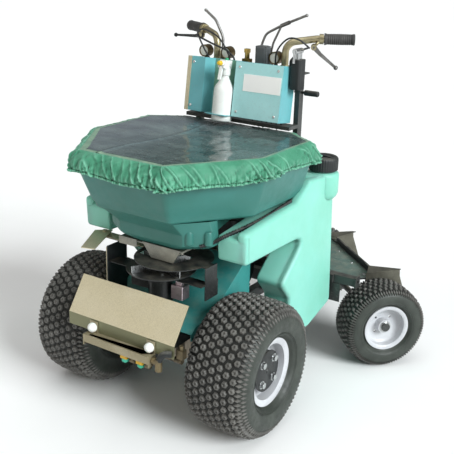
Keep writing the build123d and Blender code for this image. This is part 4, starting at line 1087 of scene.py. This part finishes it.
def make_cover_top():
    """Pale border and dark vinyl window, stretched over the bowl with a fold down the middle."""
    loop = even_loop(rounded(COVER_OUTLINE, COVER_CORNER, 8), BORDER_SAMPLES)
    centre = Vector((0.0, 0.075))

    def height(x, y):
        away = hypot(x / 0.33, (y - 0.07) / 0.32)
        sag = -0.006 * soft_step(1.0, 0.2, away)
        fold = 0.0032 * exp(-((x - FOLD_X - 0.012 * sin(y * 11)) / 0.006) ** 2) * soft_step(0.42, 0.2, y)
        swell = 0.0022 * grain(x * 6.5, y * 4.2, 3.3) + 0.0008 * grain(x * 19, y * 15, 1.7)
        swell += 0.0011 * grain(x * 34, y * 17, 5.9) * soft_step(-0.08, 0.12, x)
        return COVER_TOP + sag + fold + swell * soft_step(1.25, 0.75, away)

    def ring_at(inset_of):
        ring = []
        for spot, out, _ in loop:
            flat = spot - out * inset_of(spot)
            ring.append((flat.x, flat.y, height(flat.x, flat.y)))
        return ring

    def border_width(spot):
        toward = (spot - centre).normalized()
        front = max(0.0, toward.dot(Vector((-0.35, -0.94))))
        return 0.010 + 0.012 * front + 0.0012 * grain(spot.x * 20, spot.y * 20, 0)

    border = loft([ring_at(lambda spot, k=k: 0.0325 + border_width(spot) * k) for k in (0, 0.33, 0.66, 1.0)],
                  (False, False))
    edge = [Vector(p[:2]) for p in ring_at(lambda spot: 0.0315 + border_width(spot))]
    rows = []
    for step in range(WINDOW_RINGS):
        k = 1 - step / (WINDOW_RINGS + 0.5)
        ring = []
        for p in edge:
            flat = centre + (p - centre) * k
            ring.append((flat.x, flat.y, height(flat.x, flat.y) + 0.0005))
        rows.append(ring)
    made_border = piece("cover_border", border, "cover_border", CHASSIS, sharp=180)
    window = piece("cover_window", loft(rows, (False, True)), "cover_window", CHASSIS, sharp=180)
    return made_border, window


skirt = make_skirt()
cover_border, cover_window = make_cover_top()


# ---- spray tank ----
TANK_OUTLINE = [
    (-50, 604), (-57, 713), (276, 738), (371, 797), (547, 787), (590, 262), (397, 210), (262, 300),
    (256, 385), (192, 456), (364, 599),
]
TANK_SEAT = [(-50, 604), (-57, 690), (400, 739), (415, 797), (547, 787), (590, 262), (397, 210), (262, 300),
             (256, 385), (192, 456), (364, 599)]
TANK_RADII = [16, 16, 60, 26, 26, 30, 60, 24, 30, 26, 40]
CAP_AT = (304, 522)


def make_tank():
    """Saddle tank: a soft-edged flank each side, joined at the back, with a filler collar on the left."""
    tank = Shape()
    for side in SIDES.values():
        for outline, low, high, rim in ((TANK_SEAT, 228, 334, 9), (TANK_OUTLINE, 300, 340, 15)):
            ring = rounded(mm_outline(outline), [r * MM for r in TANK_RADII], 6)
            tank.add(soft_prism(ring, low * MM, high * MM, rim * MM,
                                lambda u, v, w, s=side: Vector((s * w, u, v)), 6))
    tank.add(box_shape(mm(-240, 520, 430), mm(240, 558, 770)))
    collar = turned([(0, 1), (0, 30), (4, 44), (16, 55), (30, 60), (92, 60), (101, 57), (106, 50), (107, 42),
                     (110, 42), (110, 1)], 64)
    tank.add(collar, frame_at(mm(*CAP_AT, 690), UP))
    piece("tank_shell", tank, "tank_poly", CHASSIS, "sprayer_tank", sharp=60)
    seal = smooth_path([mm(206, -118, 664), mm(240, -86, 678), mm(258, -62, 692), mm(284, 20, 706),
                        mm(300, 110, 718), mm(308, 200, 731), mm(313, 270, 741)])

    def ribs(share):
        return (6.2 + 1.2 * sin(share * tau * 44)) * MM
    piece("tank_seal", tube(smooth_path(seal, 10), ribs, 12), "black_plastic", CHASSIS)


make_tank()


def make_cap():
    """Screw cap with moulded grip ribs and a raised centre."""
    loops = []
    steps = 144
    for height, radius, depth in ((801, 52, 0), (803, 54, 1), (838, 54, 1), (845, 53, 0.8), (850, 49, 0),
                                  (852, 44, 0), (851, 34, 0), (848.5, 32, 0), (848.5, 1, 0)):
        ring = []
        for k in range(steps):
            size = radius - depth * (1.6 if k % 4 in (0, 1) else 0.0)
            turn = tau * k / steps
            ring.append(mm(CAP_AT[0] + size * cos(turn), CAP_AT[1] + size * sin(turn), height))
        loops.append(ring)
    piece("cap_shell", loft(loops), "black_plastic", "fill_cap", "tank_cap", sharp=40)
    x, y = CAP_AT
    bar = box_shape(mm(x - 28, y - 5, 848), mm(x + 28, y + 5, 853.5))
    piece("cap_bar", bar, "black_plastic", "fill_cap", bevel=1.5 * MM)


make_cap()


# ---- grips, bottle, gauges and small fittings ----
GRIP_FROM = (238, 536, 1262)
GRIP_END = (353, 596, 1264)
GRIP_LENGTH = 104 * MM


def make_grips():
    """Soft ribbed grips with an end flange."""
    far = Vector(GRIP_END)
    along = (far - Vector(GRIP_FROM)).normalized()
    for side_name, side in SIDES.items():
        end = Vector((side * far.x, far.y, far.z)) * MM
        way = Vector((side * along.x, along.y, along.z))
        start = end - way * GRIP_LENGTH
        profile = [(0, 13.3), (0, 20.5), (3.5, 21), (7, 19.5)]
        for k in range(12):
            at = 11 + 7.4 * k
            swell = 0.6 * sin(pi * k / 11)
            profile += [(at, 18.6 + swell), (at + 1.2, 17.4 + swell), (at + 2.4, 18.6 + swell)]
        profile += [(100, 19.2), (104, 20), (107, 18.8), (108, 15), (108, 1)]
        piece(f"grip_ribs_{side_name}", Shape().add(turned(profile, 40), frame_at(start, way)), "grip_rubber",
              CHASSIS, f"grip_{side_name}", sharp=50)


make_grips()

CONSOLE_AT = Vector((0, 350 * MM, 983 * MM))
CONSOLE_UP = Vector((0, 26, 196)).normalized()
CONSOLE_BACK = Vector((0, 196, -26)).normalized()


def on_console(x, back, up):
    """A point from the console panel's own millimetre coordinates."""
    return CONSOLE_AT + Vector((x * MM, 0, 0)) + CONSOLE_BACK * back * MM + CONSOLE_UP * up * MM


def console_slab(left, right, front, back, low, high):
    """A thin slab in the console panel's own millimetre coordinates."""
    outline = ((left, front), (right, front), (right, back), (left, back))
    return loft([[on_console(x, depth, up) for x, depth in outline] for up in (low, high)])


def make_bottle():
    """Blow-moulded bottle with a soft shoulder and ribbed collar, and its sprayer's tip and nozzle."""
    profile = [(-22, 0.1), (-22, 30), (-20.5, 34.5), (-17, 36.6), (-6, 37), (84, 37), (96, 35.6),
               (106, 31.5), (116, 25), (126, 19), (133, 15.5), (137, 14), (142, 14), (142, 0.1)]
    upright = frame_at(on_console(-36, 2, 0), CONSOLE_UP)
    piece("bottle_body", Shape().add(turned(profile, 64), upright), "white_plastic", CHASSIS, "spray_bottle",
          sharp=60)
    collar = Shape()
    for k in range(5):
        at = 144 + 4.4 * k
        rib = turned([(at, 17.2), (at + 2, 18.2), (at + 4, 17.2), (at + 2, 12)], 40, closed=True)
        collar.add(rib, upright)
    piece("bottle_collar", collar, "white_plastic", CHASSIS)
    tip = turned([(0, 0.1), (0, 6.5), (9, 5.5), (9, 0.1)], 20)
    tip = Shape().add(tip, frame_at(on_console(-30, -8, 195.5), CONSOLE_UP))
    piece("bottle_tip", tip, "green_plastic", CHASSIS)
    nozzle = turned([(0, 0.1), (0, 9.2), (12, 8.2), (16, 6), (16, 0.1)], 8)
    nozzle = Shape().add(nozzle, frame_at(on_console(-36, -36, 184), -CONSOLE_BACK))
    piece("bottle_nozzle", nozzle, "yellow_plastic", CHASSIS)


make_bottle()


GAUGE_X = (-196, -98, 109)
GAUGE_Z = 1190


def make_gauges():
    """Bezel and plain dial on the front and rear of each gauge."""
    for k, x in enumerate(GAUGE_X):
        for sign, y in ((-1, 465), (1, 491)):
            place = frame_at(mm(x, y, GAUGE_Z), (0, sign, 0))
            ring = turned([(-1, 18), (-1, 22.4), (3, 22.4), (4, 20.5), (3, 18)], closed=True)
            label = "front" if sign < 0 else "back"
            piece(f"gauge_bezel_{label}_{k}", Shape().add(ring, place), "gauge_case", CHASSIS, sharp=40)
            dial = turned([(0.4, 0.1), (0.4, 18.4), (0.9, 18.4), (0.9, 0.1)])
            piece(f"gauge_face_{label}_{k}", Shape().add(dial, place), "gauge_dial", CHASSIS)


make_gauges()


def button(radius, shoulder, height, top, steps):
    """A low domed screw head or clip standing on x = 0, in millimetres."""
    return turned([(0, 0.1), (0, radius), (height, shoulder), (top, 0.1)], steps)


def make_console_fittings():
    """Lever housing, galvanised edge strip, screws, a pale face plate of painted highlight on the right
    panel, a green plate of painted shade in the recess, clips and a loom of hoses.
    """
    piece("lever_housing", box_shape(mm(36, 448, 1146), mm(84, 486, 1230)), "housing_grey", CHASSIS,
          bevel=9 * MM, segments=4)
    strip = console_slab(-202.6, -187, -1.6, -0.2, 0, 198)
    strip = Shape().add(strip).add(console_slab(-204, -202.2, -1.6, 60, 0, 198))
    piece("console_strip", strip, "galvanised", CHASSIS, bevel=0.4 * MM)
    screws = Shape()
    for x, up in ((-178, 20), (-178, 178), (24, 20), (24, 178), (182, 20), (182, 178)):
        screws.add(button(5.5, 4.6, 1.6, 2.6, 24), frame_at(on_console(x, -0.3, up), -CONSOLE_BACK))
    piece("console_screws", screws, "bright_steel", CHASSIS)
    # painted highlight: a pale plate over the right panel
    face = Shape().add(console_slab(6, 201, -0.6, -0.1, 1, 197))
    piece("console_face", face, "console_highlight_paint", CHASSIS, bevel=0.15 * MM)
    # painted shade: a greener plate on the back wall of the recess
    recess = Shape().add(console_slab(-107, 2.5, 39.2, 39.8, 1, 197))
    piece("console_recess", recess, "console_recess_shade", CHASSIS, bevel=0.15 * MM)
    clips = Shape()
    for x, up in ((-80, 160), (-62, 148), (-84, 146)):
        clips.add(button(6, 5, 3, 4, 20), frame_at(on_console(x, 39, up), -CONSOLE_BACK))
    piece("console_clips", clips, "white_plastic", CHASSIS)
    loom = Shape()
    for k in range(7):
        path = [on_console(60 + 20 * k, 62, -6), on_console(66 + 20 * k, 58, -20 - 2 * (k % 3)),
                on_console(74 + 18 * k, 64, -24), on_console(84 + 15 * k, 78, -10)]
        loom.add(tube(smooth_path(path, 6), 2.4 * MM, 8))
    piece("wiring_loom", loom, "cable_sheath", CHASSIS)


def make_spinner_fittings():
    """Galvanised guard plates and the disc's four folded fins."""
    guard = Shape().add(box_shape(mm(-178.5, -128.5, 397), mm(-175.8, -25, 579)))
    guard.add(box_shape(mm(-286, -62, 583.1), mm(-70, -16, 584.6)))
    piece("spinner_guard", guard, "galvanised", CHASSIS, bevel=0.4 * MM)
    fins = Shape()
    for k in range(4):
        turn = Matrix.Translation(mm(36, -95, 547)) @ Matrix.Rotation(radians(-21 + 90 * k), 4, "Z")
        fins.add(box_shape(mm(23, -1.9, 0), mm(113.5, 1.9, 24.4)), turn)
        fins.add(box_shape(mm(23, -4, 23), mm(113.5, 1.9, 24.6)), turn)
    piece("spinner_fins", fins, "bright_steel", "spinner", bevel=0.3 * MM)


def make_deck_fittings():
    """Black edge trim and screws on the trolley's deck."""
    turn = Matrix.Translation((0, KINGPIN_Y, 0)) @ Matrix.Rotation(TROLLEY_TURN, 4, "Z")
    trim = Shape()
    for low, high in (((-238, 384, 311.8), (238, 389, 319.5)), ((-239, 190, 311.8), (-235.5, 388, 319.5)),
                      ((235.5, 190, 311.8), (239, 388, 319.5))):
        trim.add(box_shape(mm(*low), mm(*high)), turn)
    piece("deck_trim", trim, "black_plastic", "trolley", bevel=1 * MM)
    screws = Shape()
    for x in (-200, -70, 70, 200):
        for y in (206, 360):
            screws.add(button(7, 6, 1.5, 2.4, 20), turn @ frame_at(mm(x, y, 317.8), UP))
    piece("deck_screws", screws, "bright_steel", "trolley")


def make_bent_parts():
    """The boom's hose elbow, and three short cables fixed at both ends on the bars and console."""
    path = [mm(176, -290, 322), mm(184, -290, 340), mm(196, -284, 352), mm(214, -272, 352)]
    piece("boom_elbow", tube(smooth_path(path, 8), 11 * MM, 20), "black_plastic", CHASSIS)
    for k, path in enumerate(BAR_CABLES):
        cable = tube(smooth_path([mm(*point) for point in path], 10), 3.1 * MM, 12)
        piece(f"bar_cable_{k}", cable, "cable_sheath", CHASSIS)


KINGPIN_Y = 657 * MM
BAR_CABLES = (
    ((-236, 474, 1236), (-214, 452, 1262), (-176, 440, 1270), (-120, 444, 1246), (-84, 452, 1196),
     (-70, 456, 1150)),
    ((238, 486, 1234), (206, 462, 1262), (168, 448, 1262), (128, 448, 1216), (122, 452, 1150)),
    ((-150, 452, 1150), (-176, 436, 1200), (-206, 444, 1238), (-240, 480, 1252)),
)
make_console_fittings()
make_spinner_fittings()
make_deck_fittings()
make_bent_parts()
